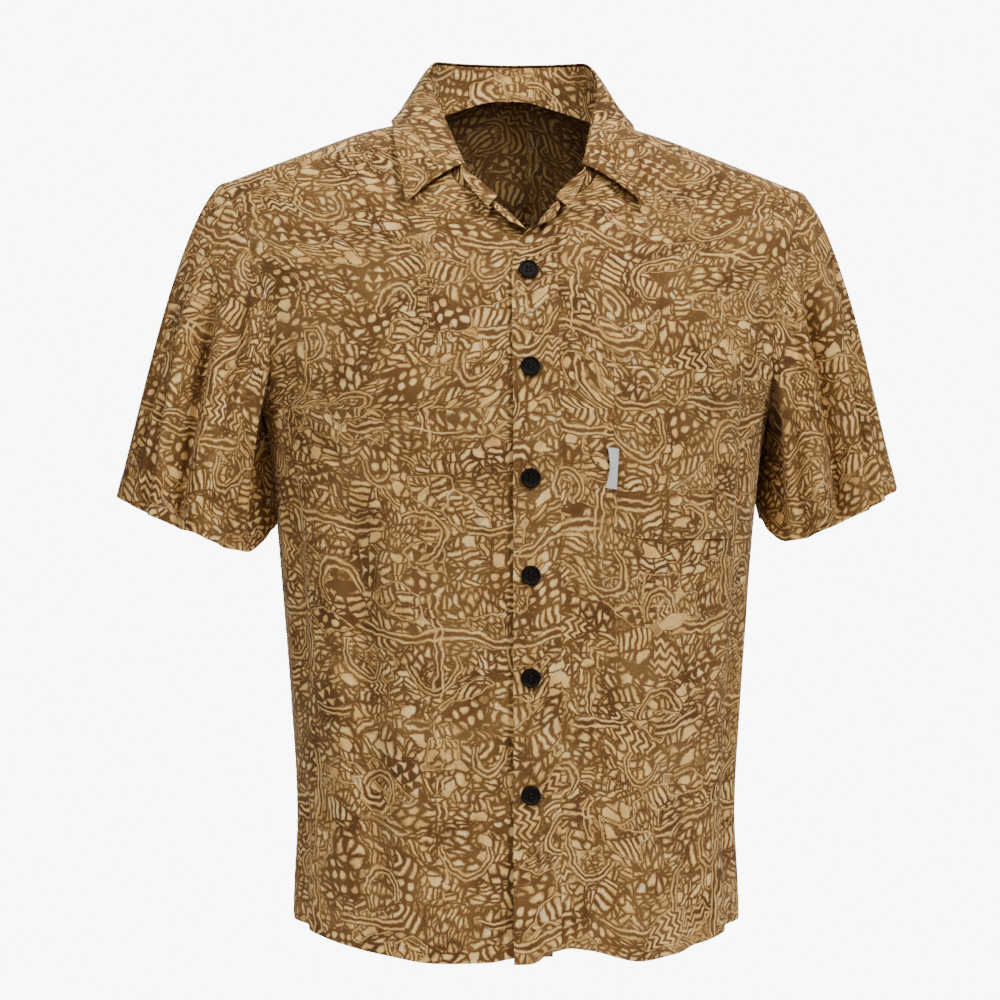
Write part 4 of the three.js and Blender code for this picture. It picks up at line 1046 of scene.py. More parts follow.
def back_seam_level(side, share):
    """Level of the yoke seam, at a share of the way from the centre back to the armhole."""
    end = np.where(side < 0, SEAM_END[-1], SEAM_END[1])
    x = side * np.where(side < 0, armhole_x(end, -1), armhole_x(end, 1)) * share
    climb = (BACK_SEAM - UNDERARM) / (ridge_height(x, False, 0) - UNDERARM)
    level = np.degrees(np.arcsin(climb ** (1 / BACK_CURVE)))
    return np.where(share >= 1, end, level)


def back_around(side, level, share):
    """Degrees round of the back, at a share of the way to the side seam or the armhole."""
    x = side * np.where(side < 0, armhole_x(level, -1), armhole_x(level, 1))
    end = np.where(level <= 0, 90, np.abs(around_at(x, level, False)))
    return side * (180 - (180 - end) * share)


def back_surface(row, across):
    """The back by row, as for the fronts up to the underarm and on to 1 at the yoke seam, and
    by place from -1 at the right side seam to 1 at the left one."""
    side = np.where(across < 0, -1, 1)
    share = np.abs(across)
    hem = column(BACK_HEM, "around", 180 - 90 * share, "z")
    level = np.where(row < 0, -row * (hem - UNDERARM), row * back_seam_level(side, share))
    return body_surface(back_around(side, level, share), level)


back_rows = np.concatenate([BODY_ROWS, np.linspace(0, 1, 62)])
back_places = np.linspace(-1, 1, BACK_COLUMNS)
back_points, back_normals = back_surface(back_rows[:, None], back_places[None, :])
back_across = arc_lengths(back_points, 1)
back_side = np.minimum(back_across, back_across[:, -1:] - back_across)
back_hem = arc_lengths(back_points, 0)
back_points = seam_relief(back_points, back_normals, back_side, back_hem)
back_flat = cloth_map(back_points, (1.7, 0.05))
back = cloth_shell(
    "back_cloth", back_points, back_normals, CLOTH_THICKNESS, back_flat, BOTH_SIDES
)
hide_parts("back")
back_size, back_area = flat_size(back_points)

# ---------------------------------------------------------------- yoke
# A double layer over both shoulders and the back of the neck. Its edges lap the fronts and the
# back, and a line of top stitching runs along its edge at the armholes and the back seam.

YOKE_NECK = {
    "turn": [0, 0.1, 0.2, 0.3, 0.4, 0.5],
    "x": [84, 85, 82, 71, 42, 0],
    "over": [13, 4, -6, -14, -23, -27],
}
ARM_TURN = 0.28  # share of the neck edge, from the front seam, that faces the armhole
YOKE_FRONT = 24  # degrees over the ridge where the armhole meets the front seam
YOKE_CUT = (0.56, 0.23)  # metres, flat


def shoulder_point(x, over):
    """The worn body over the shoulders, by distance from the centre line and by degrees over the
    ridge, above 0 in front of it."""
    level = 90 - np.abs(over)
    return body_point(around_at(x, level, over >= 0), level)


def shoulder_surface(x, over):
    """Points over the shoulders and their outward normals."""
    points = shoulder_point(x, over)
    return points, outward(shoulder_point, x, over, 0.5, 0.3, middle_of(points))


def over_shoulder(x, over):
    """Length of cloth from the ridge to a place, in 24 steps, counted up in front."""
    path = shoulder_point(x[None], over[None] * np.linspace(0, 1, 25)[:, None, None])
    return np.linalg.norm(np.diff(path, axis=0), axis=-1).sum(axis=0) * np.sign(over)


def yoke_half(side, turn, out):
    """Half of the yoke, by place along the neck edge (0 front seam, 0.5 centre back) and by share
    of the way out: straight from the neck edge to the armhole or to the back seam."""
    neck_x = column(YOKE_NECK, "turn", turn, "x")
    neck_over = column(YOKE_NECK, "turn", turn, "over")
    arm_back = SEAM_END[side] - 90
    arm_over = YOKE_FRONT + (arm_back - YOKE_FRONT) * np.minimum(turn / ARM_TURN, 1)
    arm_x = armhole_x(90 - np.abs(arm_over), side)
    share = np.clip(1 - (turn - ARM_TURN) / (0.5 - ARM_TURN), 0, 1)
    sides = np.full_like(share, side)
    seam_level = back_seam_level(sides, share)
    seam_x = np.abs(body_point(back_around(sides, seam_level, share), seam_level)[..., 0])
    on_arm = turn <= ARM_TURN
    outer_x = np.where(on_arm, arm_x, seam_x)
    outer_over = np.where(on_arm, arm_over, seam_level - 90)
    around, level = front_place(side, np.full_like(out, float(NECK_TOP)), out)
    near, far = OPENING[side]["crease"][-1], armhole_x(float(ARM_TOP), side)
    spread = (np.abs(body_point(around, level)[..., 0]) - near) / (far - near)
    x = side * (neck_x + (outer_x - neck_x) * spread)
    return x, neck_over + (outer_over - neck_over) * out


yoke_turns = np.concatenate([np.linspace(0, ARM_TURN, 50)[:-1], np.linspace(ARM_TURN, 0.5, 66)])
yoke_out = np.linspace(0, 1, 70)
turn_grid, out_grid = np.meshgrid(yoke_turns, yoke_out)
right_x, right_over = yoke_half(-1, turn_grid, out_grid)
left_x, left_over = yoke_half(1, turn_grid[:, ::-1], out_grid)
yoke_x = np.concatenate([right_x, left_x[:, 1:]], axis=1)
yoke_over = np.concatenate([right_over, left_over[:, 1:]], axis=1)
yoke_points, yoke_normals = shoulder_surface(yoke_x, yoke_over)
yoke_from_out = arc_lengths(yoke_points[::-1], 0)[::-1]
yoke_ridge = 0.55 * furrow(yoke_from_out, 2, 4.5)
yoke_points = yoke_points + yoke_normals * yoke_ridge[..., None]
yoke_along = over_shoulder(yoke_x, yoke_over)
yoke_flat = np.stack([yoke_x * 1.07 / 1000 + 2.6, yoke_along / 1000 + 0.4], -1)
yoke = cloth_shell("yoke_cloth", yoke_points, yoke_normals, 0.7, yoke_flat, BOTH_SIDES)
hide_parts("yoke")
yoke_area = min(flat_size(yoke_points)[1], YOKE_CUT[0] * YOKE_CUT[1])

stitches(
    "back_stitches",
    [
        line_beside(back_points, back_normals, "bottom", HEM_LINE),
        line_beside(yoke_points, yoke_normals, "top", 4),
        line_beside(back_points, back_normals, "first", SEAM_LINE),
        line_beside(back_points, back_normals, "last", SEAM_LINE),
    ],
)

# ---------------------------------------------------------------- sleeves
# Each sleeve is one panel, seamed under the arm and set into the armhole. It hangs from the
# shoulder with long soft folds, and its edge is folded up and stitched.

CUFF = {
    "around": [0, 30, 60, 90, 115, 138, 160, 180, 225, 270, 320, 360],
    "z": [-337, -342, -355, -369, -381, -386, -377, -366, -366, -354, -341, -337],
}
CUFF_INNER = 223
SLEEVE_SHAPE = {1: {"outer": 346, "drop": 0}, -1: {"outer": 357, "drop": 9}}
SLEEVE_COLUMNS = 240
SLEEVE_ROWS = 121
ARM_RADIUS = 62
SLEEVE_FOLDS = {
    -1: {
        "at_arm": [46, 146, 235, 300, 70, 15, 200, 100, 262, 28, 190],
        "at_cuff": [76, 146, 250, 292, 108, 34, 214, 118, 270, 52, 190],
        "start": [0.22, 0.0, 0.1, 0.25, 0.0, 0.3, 0.2, 0.3, 0.1, 0.5, 0.05],
        "end": [1.4, 1.0, 0.9, 1.4, 0.6, 1.0, 1.3, 1.4, 0.7, 1.4, 1.15],
        "width": [7.5, 15, 12, 10, 5, 6, 8, 6, 7, 5, 22],
        "depth": [19, 10, 9, 8, 5, 4, 3, 6, 4, 5, -9],
    },
    1: {
        "at_arm": [56, 146, 228, 305, 80, 20, 195, 105, 258, 34],
        "at_cuff": [88, 146, 244, 288, 112, 40, 206, 120, 268, 60],
        "start": [0.1, 0.0, 0.1, 0.2, 0.0, 0.25, 0.2, 0.3, 0.1, 0.4],
        "end": [1.15, 1.0, 0.95, 0.8, 0.6, 1.2, 1.3, 1.3, 0.7, 1.4],
        "width": [8, 15, 12, 10, 5, 6, 8, 6, 7, 5],
        "depth": [19, 10, 9, 8, 5, 4, 3, 6, 4, 5],
    },
}


def armhole_edge(side, turn):
    """The armhole by degrees round the arm, and the direction along the body's wall that leads
    out of the hole there."""

    def edge_point(at):
        level = np.degrees(np.arcsin((1 + np.cos(np.radians(at))) / 2))
        in_front = np.sin(np.radians(at)) >= 0
        x = side * armhole_x(level, side)
        return body_point(around_at(x, level, in_front), level), level, in_front, x

    points, level, in_front, x = edge_point(turn)
    tangent = unit(edge_point(turn + 1)[0] - edge_point(turn - 1)[0])
    over = np.where(in_front, 1, -1) * (90 - level)
    high_normal = shoulder_surface(x, over)[1]
    low_normal = body_surface(around_at(x, level, in_front), level)[1]
    normal = np.where((level > 60)[..., None], high_normal, low_normal)
    away = unit(np.cross(tangent, normal))
    middle = np.array([side * 240.0, 0, -175.0])
    inwards = np.sum(away * (middle - points), axis=-1, keepdims=True) < 0
    return points, np.where(inwards, -away, away)


def sleeve_fold(side, turn, along):
    """Sum of a sleeve's folds, each drifting round the arm from its place at the armhole to its
    place at the cuff, and fading in and out over a quarter of the length."""
    total = np.zeros(np.broadcast(turn, along).shape)
    for at_arm, at_cuff, start, end, width, depth in zip(*SLEEVE_FOLDS[side].values()):
        distance = (turn - at_arm - (at_cuff - at_arm) * along) / width
        fade = ease(start, start + 0.25, along) * (1 - ease(end - 0.25, end, along))
        total = total + depth * fade * fold_section(distance)
    return total


def sleeve_surface(side, turn, along):
    """A cubic curve from each place on the armhole to the same place on the cuff's oval. It leaves
    down and out, and arrives almost straight down."""
    edge, away = armhole_edge(side, turn)
    start = edge + away * 0.3
    high = (1 + np.cos(np.radians(turn))) / 2
    front = np.sin(np.radians(turn))
    outer = SLEEVE_SHAPE[side]["outer"]
    centre, half = (outer + CUFF_INNER) / 2, (outer - CUFF_INNER) / 2
    hem = np.stack(
        [
            side * (centre + half * np.cos(np.radians(turn))),
            -4 - ARM_RADIUS * front,
            column(CUFF, "around", turn % 360, "z") - SLEEVE_SHAPE[side]["drop"],
        ],
        axis=-1,
    )
    leave = np.stack([side * mix(0.22, 0.75, high), -0.12 * front, -mix(0.97, 0.66, high)], -1)
    leave = unit(leave) * mix(70, 150, high)[..., None]
    arrive = np.array([side * 0.26, 0, -0.965]) * mix(95, 250, high)[..., None]
    t = along[..., None]
    points = start * (1 + 2 * t) * (1 - t) ** 2 + leave * t * (1 - t) ** 2
    points = points + hem * t * t * (3 - 2 * t) + arrive * t * t * (t - 1)
    out = unit(np.stack([side * np.cos(np.radians(turn)), -front, 0.25 * high], -1))
    return points + out * sleeve_fold(side, turn % 360, along)[..., None]


def grid_normals(points, hint, ring=False):
    """Unit normals of a grid from its own steps, turned to the side that the hint points to."""
    if ring:
        padded = np.concatenate([points[:, -1:], points, points[:, :1]], axis=1)
        across = padded[:, 2:] - padded[:, :-2]
    else:
        across = np.gradient(points, axis=1)
    normal = unit(np.cross(across, np.gradient(points, axis=0)))
    facing = np.sum(normal * hint, axis=-1, keepdims=True)
    return np.where(facing < 0, -normal, normal)


def sleeve_piece(side):
    """One sleeve as a closed ring of cloth, from the armhole down to the cuff, with the lines of
    stitching at both of its ends."""
    turns = np.linspace(0, 360, SLEEVE_COLUMNS + 1)[:-1] + 180
    turn, along = np.meshgrid(turns, np.linspace(0, 1, SLEEVE_ROWS))
    points = sleeve_surface(side, turn, along)
    hint = np.stack([side * np.cos(np.radians(turn)), -np.sin(np.radians(turn)), 0 * turn], -1)
    normals = grid_normals(points, hint, ring=True)
    from_arm = arc_lengths(points, 0)
    from_cuff = from_arm[-1:] - from_arm
    round_arm = np.radians(turn) * ARM_RADIUS
    wave = np.sin(round_arm * 2 * np.pi / 17 + np.sin(round_arm / 19))
    ripple = 0.22 * wave * np.exp(-from_arm / 14)
    ridge = 0.5 * furrow(from_arm, 3, 3)
    points = points + normals * (ripple + ridge + folded_hem(from_cuff, 0.4))[..., None]
    closed = np.concatenate([points, points[:, :1]], axis=1)
    closed_normals = np.concatenate([normals, normals[:, :1]], axis=1)
    across = arc_lengths(closed, 1)
    across = across - across[:, SLEEVE_COLUMNS // 2][:, None]
    upward = np.concatenate([from_cuff, from_cuff[:, :1]], axis=1)
    flat = np.stack([across / 1000 + 3.5 + side * 0.6, upward / 1000 + 0.2 + side * 0.3], -1)
    name = f"sleeve_{SIDE_NAMES[side]}_cloth"
    piece = cloth_shell(name, points, normals, CLOTH_THICKNESS, flat, BOTH_SIDES, closed=True)
    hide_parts(f"sleeve_{SIDE_NAMES[side]}")
    size, area = flat_size(closed)
    return [
        line_beside(closed, closed_normals, "top", HEM_LINE),
        line_beside(closed, closed_normals, "bottom", 4),
    ]


stitches("sleeve_stitches", [*sleeve_piece(-1), *sleeve_piece(1)])

# ---------------------------------------------------------------- collar stand
# A band of double cloth that is sewn round the neck edge. Its front ends, worn unbuttoned, turn
# outwards with the neck corners of the fronts.

COLLAR = {
    "station": [0, 0.15, 0.3, 0.42, 0.52, 0.64, 0.8, 1],
    "turn": [0.5, 0.4, 0.27, 0.12, 0, 0, 0, 0],
    "level": [77, 77, 77, 77, 77, 72, 61, 50.5],
    "crest_x": [0, 42, 67, 76, 73, 67, 60, 52],
    "crest_y": [88, 79, 50, 20, -2, -22, -50, -80],
    "crest_z": [50, 50, 48, 29, 10, -7, -31, -56],
    "edge_x": [0, 52, 90, 104, 107, 106, 104, 104],
    "edge_over": [-34, -31, -20, -6, 5, 20, 35, 44.8],
    "edge_lift": [5, 5, 5, 5, 5, 6, 9, 12],
}
FRONT_STATION = 0.52  # where the stand passes from the yoke to the fronts
STAND_END = {
    "station": [0.9, 1, 1.12, 1.26],
    "level": [55, 50.5, 46.5, 43.5],
    "left": [56, 51, 39, 25],
    "right": [56, 52, 40, 25],
    "y": [-66, -80, -93, -106],
    "z": [-44, -56, -69, -83],
    "out_x": [0, 3, 8, 10],
    "out_y": [0, -4, -6, -8],
    "out_z": [0, -4, -8, -11],
}


def at_station(table, station, name):
    """One column of a collar table, read by the station along the collar."""
    return column(table, "station", station, name)


def crest_point(side, station):
    """The top of the stand, where the leaf folds over."""
    right, left, end_y, end_z = (
        at_station(STAND_END, station, name) for name in ("right", "left", "y", "z")
    )
    is_end = station > STAND_END["station"][0]
    ends = np.where(side < 0, right, left)
    x = np.where(is_end, ends, at_station(COLLAR, station, "crest_x"))
    y = np.where(is_end, end_y, at_station(COLLAR, station, "crest_y"))
    z = np.where(is_end, end_z, at_station(COLLAR, station, "crest_z"))
    return np.stack([side * x, y, z], axis=-1)


def stand_seam(side, station):
    """The neck edge of the yoke and, from station 0.52 on, of the fronts, 3 mm towards the neck."""
    turn = at_station(COLLAR, station, "turn")
    yoke_x = side * column(YOKE_NECK, "turn", turn, "x")
    on_yoke = shoulder_point(yoke_x, column(YOKE_NECK, "turn", turn, "over"))
    is_end = station >= STAND_END["station"][0]
    level = at_station(COLLAR, station, "level")
    level = np.where(is_end, at_station(STAND_END, station, "level"), level)
    right, left = (column(OPENING[number], "level", level, "crease") for number in (-1, 1))
    creases = np.where(side < 0, right, left)
    on_front = body_point(around_at(side * creases, level, True), level)
    points = np.where((station <= FRONT_STATION)[..., None], on_yoke, on_front)
    inward = np.stack([-points[..., 0], -20 - points[..., 1], np.zeros_like(level)], -1)
    return points + unit(inward) * 3 + np.array([0, 0, 0.3])


def stand_surface(along, rise):
    """From the neck seam up to the crest. Towards the front ends it climbs in a parabola and
    then falls outwards with the square of the rise."""
    side = np.where(along < 0, -1, 1)
    station = np.abs(along)
    turned = ease(0.9, 1.12, station)
    reach = np.minimum(1, rise / mix(1, 0.7, turned))
    climb = mix(reach, 1 - (1 - reach) ** 2, turned)[..., None]
    fall = (np.maximum(0, (rise - 0.4) / 0.6) ** 2)[..., None]
    names = ("out_x", "out_y", "out_z")
    out = np.stack([at_station(STAND_END, station, name) for name in names], axis=-1)
    out[..., 0] *= side
    seam = stand_seam(side, station)
    return seam + (crest_point(side, station) - seam) * climb + out * fall


stand_end = STAND_END["station"][-1]
stand_stations = np.linspace(-stand_end, stand_end, 253)
stand_along, stand_rise = np.meshgrid(stand_stations, np.linspace(0, 1, 25))
stand_points = stand_surface(stand_along, stand_rise)
stand_hint = stand_points - np.array([0, -20, 0])
stand_hint[..., 2] = 0
stand_normals = grid_normals(stand_points, stand_hint)
stand_flat = cloth_map(stand_points, (5.1, 0.2))
stand = cloth_shell("collar_stand_cloth", stand_points, stand_normals, 0.8, stand_flat, [PRINT])
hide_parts("collar_stand")
stand_size, stand_area = flat_size(stand_points)

# ---------------------------------------------------------------- collar leaf
# The fall of the collar: two layers with a lining between them, turned out and top stitched 6 mm
# from the edge. It folds over the stand and spreads over the shoulders to two points.

LEAF_LINE = 6


def leaf_surface(along, fall):
    """A cubic curve at each station: from 3 mm over the crest, out over the fold, through a belly
    and down to the edge, which lies 5 to 12 mm above the shoulders."""
    side = np.where(along < 0, -1, 1)
    station = np.abs(along)
    crest = crest_point(side, station)
    at_point = ease(0.7, 1, station)
    spread = np.where(side < 0, mix(5, -1, at_point), mix(-3, 1, at_point))
    spread = spread * ease(0.1, 0.4, station)
    lie_x = side * (at_station(COLLAR, station, "edge_x") + spread)
    lying, normal = shoulder_surface(lie_x, at_station(COLLAR, station, "edge_over"))
    edge = lying + normal * at_station(COLLAR, station, "edge_lift")[..., None]
    out = edge - crest
    out[..., 2] = 0
    out = unit(out)
    start = crest + np.array([0, 0, 3.0])
    t = fall[..., None]
    belly = crest + (edge - crest) * 0.45 + out * (7 + 6 * ease(0.75, 1, station))[..., None]
    upper = start * (1 - t) ** 3 + (start + out * 8) * 3 * t * (1 - t) ** 2
    return upper + belly * 3 * t * t * (1 - t) + edge * t**3


leaf_along, leaf_fall = np.meshgrid(np.linspace(-1, 1, 241), np.linspace(0, 1, 61))
leaf_points = leaf_surface(leaf_along, leaf_fall)
leaf_hint = leaf_points - np.array([0, 0, -80.0])
leaf_normals = grid_normals(leaf_points, leaf_hint)
leaf_edge = arc_lengths(leaf_points[::-1], 0)[::-1]
leaf_ends = arc_lengths(leaf_points, 1)
leaf_ends = np.minimum(leaf_ends, leaf_ends[:, -1:] - leaf_ends)
leaf_rim = np.minimum(leaf_edge, leaf_ends)
leaf_relief = 0.5 * (1 - np.exp(-leaf_rim / 1.2)) - 0.3 * furrow(leaf_rim, LEAF_LINE, 1.2) - 0.5
leaf_points = leaf_points + leaf_normals * leaf_relief[..., None]
leaf_flat = cloth_map(leaf_points, (6.3, 0.7))[..., ::-1]
leaf = cloth_shell("collar_leaf_cloth", leaf_points, leaf_normals, 1.0, leaf_flat, [PRINT])
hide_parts("collar_leaf")
leaf_size, leaf_area = flat_size(leaf_points)
stitches(
    "collar_stitches",
    [
        line_beside(leaf_points, leaf_normals, edge, LEAF_LINE)
        for edge in ("top", "first", "last")
    ],
)

# ---------------------------------------------------------------- pocket
# A patch of the same cloth on the left front, with a hem across its mouth. It is sewn down along
# its sides and bottom, and its mouth gapes a little.

POCKET = {"inner": 73, "outer": 193, "top": -235, "bottom": -383}
POCKET_WIDTH = 124  # along the cloth, round the body
POCKET_LENGTH = POCKET["top"] - POCKET["bottom"]
POCKET_LINE = 2.2
MOUTH_LINE = 22.5


def level_at(x, z):
    """Level of the front's surface at a height: the climb's power, undone."""
    climb = np.clip((z - UNDERARM) / (ridge_height(x, True, 0) - UNDERARM), 0, 1)
    return np.where(z <= UNDERARM, z - UNDERARM, np.degrees(np.arcsin(climb ** (1 / FRONT_CURVE))))


def pocket_surface(across, down):
    """The front's surface between the pocket's edges, lifted off it. The lower corners are
    rounded by a seventh power, and the mouth bulges by up to 5.5 mm."""
    corner = 9 * np.abs(2 * across - 1) ** 7
    z = mix(POCKET["top"], POCKET["bottom"] + corner, down)
    level = level_at(mix(POCKET["inner"], POCKET["outer"], across), z)
    start = around_at(POCKET["inner"], level, True)
    end = around_at(POCKET["outer"], level, True)
    points, normals = body_surface(mix(start, end, across), level)
    gape = 5.5 * ease(0.25, 0.7, across) * (1 - ease(0.85, 1, across)) * (1 - ease(0, 0.3, down))
    return points, normals, gape


pocket_across, pocket_down = np.meshgrid(np.linspace(0, 1, 81), np.linspace(0, 1, 101))
pocket_points, pocket_normals, pocket_gape = pocket_surface(pocket_across, pocket_down)
pocket_side = np.minimum(pocket_across, 1 - pocket_across) * POCKET_WIDTH
pocket_foot = (1 - pocket_down) * POCKET_LENGTH
pocket_rim = np.minimum(pocket_side, pocket_foot)
pocket_mouth = pocket_down * POCKET_LENGTH
pocket_lift = 0.9 + 1.4 * ease(2, 8, pocket_rim) - 0.3 * furrow(pocket_rim, POCKET_LINE, 0.9)
pocket_lift += 0.3 * (1 - ease(21, 24, pocket_mouth)) - 0.3 * furrow(pocket_mouth, MOUTH_LINE, 1.1)
pocket_points = pocket_points + pocket_normals * (pocket_lift + pocket_gape)[..., None]
pocket_flat = cloth_map(pocket_points, (7.2, 0.33)) * np.array([1, -1])
pocket = cloth_shell(
    "pocket_cloth", pocket_points, pocket_normals, CLOTH_THICKNESS, pocket_flat, [PRINT]
)
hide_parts("pocket")
pocket_size, pocket_area = flat_size(pocket_points)
stitches(
    "pocket_stitches",
    [
        line_beside(pocket_points, pocket_normals, "first", POCKET_LINE),
        line_beside(pocket_points, pocket_normals, "last", POCKET_LINE),
        line_beside(pocket_points, pocket_normals, "top", POCKET_LINE),
        line_beside(pocket_points, pocket_normals, "bottom", MOUTH_LINE),
    ],
)

# ---------------------------------------------------------------- pocket tab
# A small folded piece of off-white woven tape, blank, sewn over the pocket's edge nearest the
# opening.

RIB_SPACING = 0.8
TAB = {"top": -305, "bottom": -340, "width": 9.6, "past_edge": 3.8}

TAPE, tape_tree, tape_shader = new_look("woven_tape")
tape_map = tape_tree.nodes.new("ShaderNodeUVMap")
tape_map.uv_map = "cloth"
tape_u, tape_v, _ = parts_of(tape_tree, tape_map.outputs[0])
tape_ribs = (tape_v * (2000 * math.pi / RIB_SPACING)).math("SINE") * 0.5 + 0.5
tape_grain = Yarn(tape_tree, noise(tape_tree, tape_map.outputs[0], 1500, 3).outputs["Fac"])
tape_ramp = tape_tree.nodes.new("ShaderNodeValToRGB")
set_ramp(tape_ramp, ((0, (0.36, 0.34, 0.31)), (1, (0.80, 0.80, 0.79))), 1)
tape_tree.links.new((tape_ribs * 0.35 + tape_grain * 0.9).socket, tape_ramp.inputs[0])
tape_tree.links.new(tape_ramp.outputs[0], tape_shader.inputs["Base Color"])
bump(tape_tree, tape_shader, tape_ribs + tape_grain, 0.5, 0.0003)
tape_shader.inputs["Roughness"].default_value = 0.7
tape_shader.inputs["Sheen Weight"].default_value = 0.15

tab_across, tab_down = np.meshgrid(np.linspace(0, 1, 17), np.linspace(0, 1, 41))
tab_height = mix(TAB["top"], TAB["bottom"], tab_down) + 1.5 * (1 - tab_across)
tab_belly = np.sin(np.pi * tab_down)
tab_reach = TAB["width"] * (1 - tab_across) * (1 - 0.26 * tab_belly)
tab_x = POCKET["inner"] + TAB["past_edge"] - tab_reach - 2.2 * tab_down
tab_level = level_at(tab_x, tab_height)
tab_points, tab_normals = body_surface(around_at(tab_x, tab_level, True), tab_level)
tab_lift = 1.5 + 1.3 * ease(-3, 1, tab_x - POCKET["inner"])
tab_lift += 1.8 * (1 - tab_across) ** 2 * tab_belly + 0.5 * np.sin(np.pi * tab_across)
tab_points = tab_points + tab_normals * tab_lift[..., None]
tab_flat = cloth_map(tab_points)
tab = cloth_shell("pocket_tab_tape", tab_points, tab_normals, 0.9, tab_flat, [TAPE])
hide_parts("pocket_tab")
tab_width, tab_length = flat_size(tab_points)[0]

# ---------------------------------------------------------------- buttons
# Six near-black resin buttons, 17 mm across, with a raised rim, a shallow well and four holes.
# Dark thread crosses the well from hole to hole.

RESIN, resin_cloud, resin_shader = speckled(
    "dark_resin",
    260,
    (0.0025, 0.0016, 0.001),
    (0.009, 0.005, 0.003),
    0.5,
    detail=4,
    ends=(0.35, 0.75),
)
resin_rough = Yarn(RESIN.node_tree, resin_cloud.outputs["Fac"]) * 0.25 + 0.4
RESIN.node_tree.links.new(resin_rough.socket, resin_shader.inputs["Roughness"])
resin_shader.inputs["Specular IOR Level"].default_value = 0.14

BUTTON_HEIGHTS = [-150, -234, -330, -414, -502, -603]
BUTTON_RADIUS = 8.6
BUTTON_LIFT = 1.8
BUTTON_SPOKES = 72
BUTTON_RINGS = 40
HOLE_AWAY = 1.75
HOLE_RADIUS = 0.85


def quads_of(ring):
    """Four-cornered faces of a grid of vertex numbers."""
    return np.stack([ring[:-1, :-1], ring[1:, :-1], ring[1:, 1:], ring[:-1, 1:]], -1).reshape(-1, 4)


def button_height(x, y):
    """Height of a button's face: 2.1 mm in the well, up to 3 mm on the rounded rim, and down into
    four round holes."""
    far = np.hypot(x, y) / BUTTON_RADIUS
    face = 2.1 + 0.9 * ease(0.66, 0.84, far) - 1.3 * ease(0.9, 1.0, far) ** 2
    for hole_x in (-HOLE_AWAY, HOLE_AWAY):
        for hole_y in (-HOLE_AWAY, HOLE_AWAY):
            near = np.hypot(x - hole_x, y - hole_y)
            face = face - 1.5 * (1 - ease(HOLE_RADIUS * 0.8, HOLE_RADIUS * 1.25, near))
    return face


def button_piece(number, height):
    """A disc on a polar grid of 40 rings by 72 spokes, closed by the turned edge and the back."""
    level = level_at(0.0, np.array(height, float))
    seat, normal = body_surface(np.array(0.0), level)
    normal = normal / np.linalg.norm(normal)
    right = unit(np.cross(np.array([0, 0, 1.0]), normal))
    up = np.cross(normal, right)
    spokes, rings = BUTTON_SPOKES, BUTTON_RINGS
    angle = np.linspace(0, 2 * np.pi, spokes + 1)[:-1]
    radius = np.linspace(0, 1, rings + 1)[1:] * BUTTON_RADIUS
    turn, far = np.meshgrid(angle, radius)
    x, y = far * np.cos(turn), far * np.sin(turn)
    face = np.stack([x, y, button_height(x, y)], -1).reshape(-1, 3)
    rim = np.stack([x[-1] * 0.96, y[-1] * 0.96, np.full(spokes, 0.7)], -1)
    foot = np.stack([x[-1] * 0.86, y[-1] * 0.86, np.zeros(spokes)], -1)
    local = np.concatenate([face, rim, foot, [[0, 0, 2.1], [0, 0, 0]]])

    def placed(local):
        height = local[:, 2:3] + BUTTON_LIFT
        return seat + right * local[:, 0:1] + up * local[:, 1:2] + normal * height

    ring = np.arange((rings + 2) * spokes).reshape(rings + 2, spokes)
    ring = np.concatenate([ring, ring[:, :1]], axis=1)
    quads = quads_of(ring)
    top, base = (rings + 2) * spokes, (rings + 2) * spokes + 1
    caps = [[top, a, b] for a, b in zip(ring[0, :-1].tolist(), ring[0, 1:].tolist())]
    caps += [[base, b, a] for a, b in zip(ring[-1, :-1].tolist(), ring[-1, 1:].tolist())]
    piece = smooth_piece(f"button_{number}_resin", placed(local), quads.tolist() + caps, RESIN)
    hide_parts(f"button_{number}")
    strands = []
    for offset in (-0.22, 0.22):
        for row in (-HOLE_AWAY, HOLE_AWAY):
            t = np.linspace(-1, 1, 13)
            strand = [t * HOLE_AWAY, row + offset + 0 * t, 2.05 + 0.75 * (1 - t**4)]
            strands.append(placed(np.stack(strand, -1)))
    return strands, normal


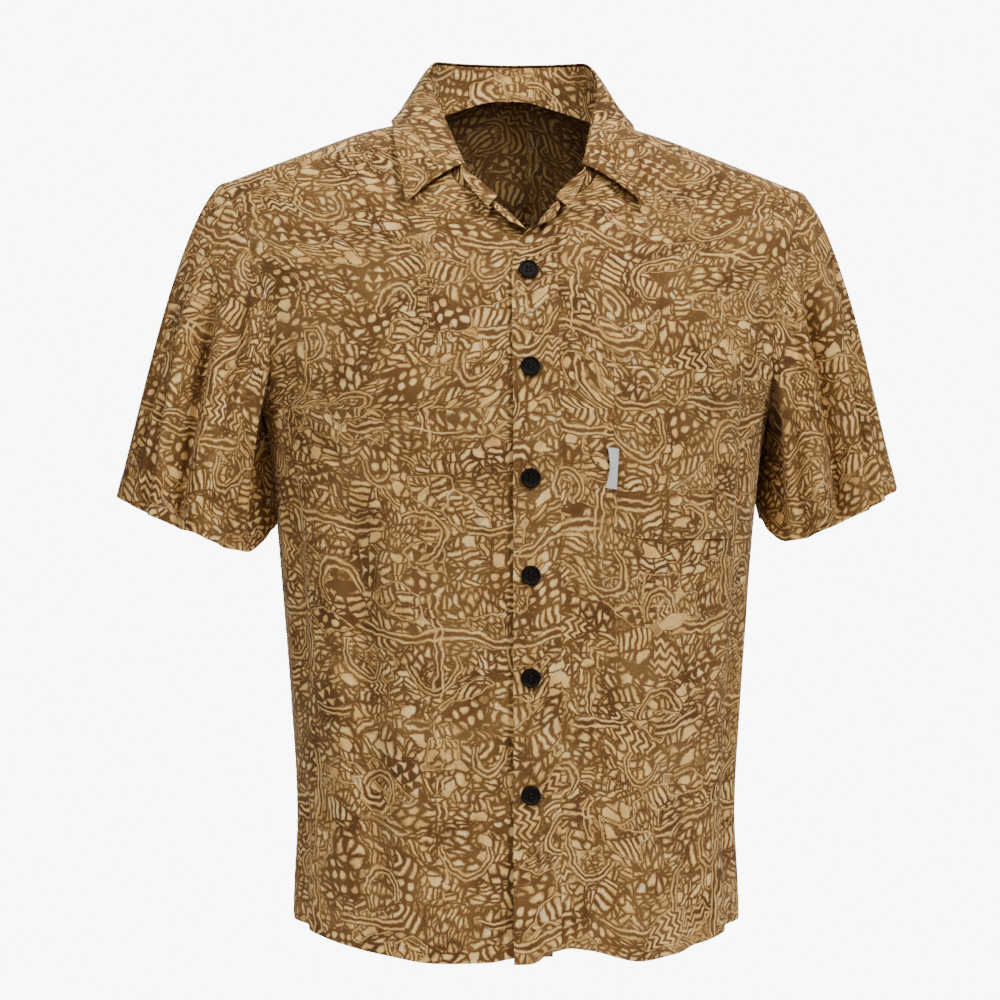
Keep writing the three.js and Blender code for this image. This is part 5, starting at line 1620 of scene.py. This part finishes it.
def thread_tubes(name, paths, radius, thread):
    """Round strands of thread as one mesh: a six-sided ring at each point of each path, square to
    the path, with both ends closed."""
    all_points, all_faces, used = [], [], 0
    angle = np.linspace(0, 2 * np.pi, 7)[:-1]
    for path, normal in paths:
        ahead = unit(np.gradient(path, axis=0))
        sideways = unit(np.cross(ahead, normal))
        above = np.cross(sideways, ahead)
        cosine, sine = np.cos(angle)[None, :, None], np.sin(angle)[None, :, None]
        rings = path[:, None] + radius * (cosine * sideways[:, None] + sine * above[:, None])
        count = len(path)
        ring = np.arange(count * 6).reshape(count, 6)
        ring = np.concatenate([ring, ring[:, :1]], axis=1) + used
        all_points.append(rings.reshape(-1, 3))
        all_faces += quads_of(ring).tolist()
        all_faces += [ring[0, :-1].tolist(), ring[-1, :-1][::-1].tolist()]
        used += count * 6
    smooth_piece(name, np.concatenate(all_points), all_faces, thread)


BUTTON_THREAD = speckled(
    "dark_thread", 1400, (0.004, 0.0025, 0.0018), (0.016, 0.01, 0.007), 0.65
)[0]

strand_paths = []
for number, height in enumerate(BUTTON_HEIGHTS, 1):
    strands, button_normal = button_piece(number, height)
    strand_paths += [(path, button_normal) for path in strands]
thread_tubes("button_threads", strand_paths, 0.2, BUTTON_THREAD)

# Each buttonhole is a level slit 21 mm long under its button, with brown thread sewn to and fro
# along both lips and across both ends.


def lip_path(height, lip):
    """Thread to and fro across one lip of a buttonhole, 0.23 mm apart: it swings between 0.3 and
    1.5 mm from the slit, and over to its far side at both ends, where the bars are."""
    turns = 94
    across = np.linspace(-9.5, 11.5, turns)
    swing = np.where(np.arange(turns) % 2 == 0, 0.3, 1.5)
    at_end = (across < -8.6) | (across > 10.6)
    swing = np.where(at_end & (swing < 1), -1.2, swing)
    z = height + lip * swing
    level = level_at(across, z)
    points, normals = body_surface(around_at(across, level, True), level)
    return points + normals * (1.75 + 0.15 * (swing > 0.9))[:, None], normals[0]


hole_paths = [lip_path(height, lip) for height in BUTTON_HEIGHTS for lip in (-1, 1)]
thread_tubes("buttonhole_threads", hole_paths, 0.24, THREAD)
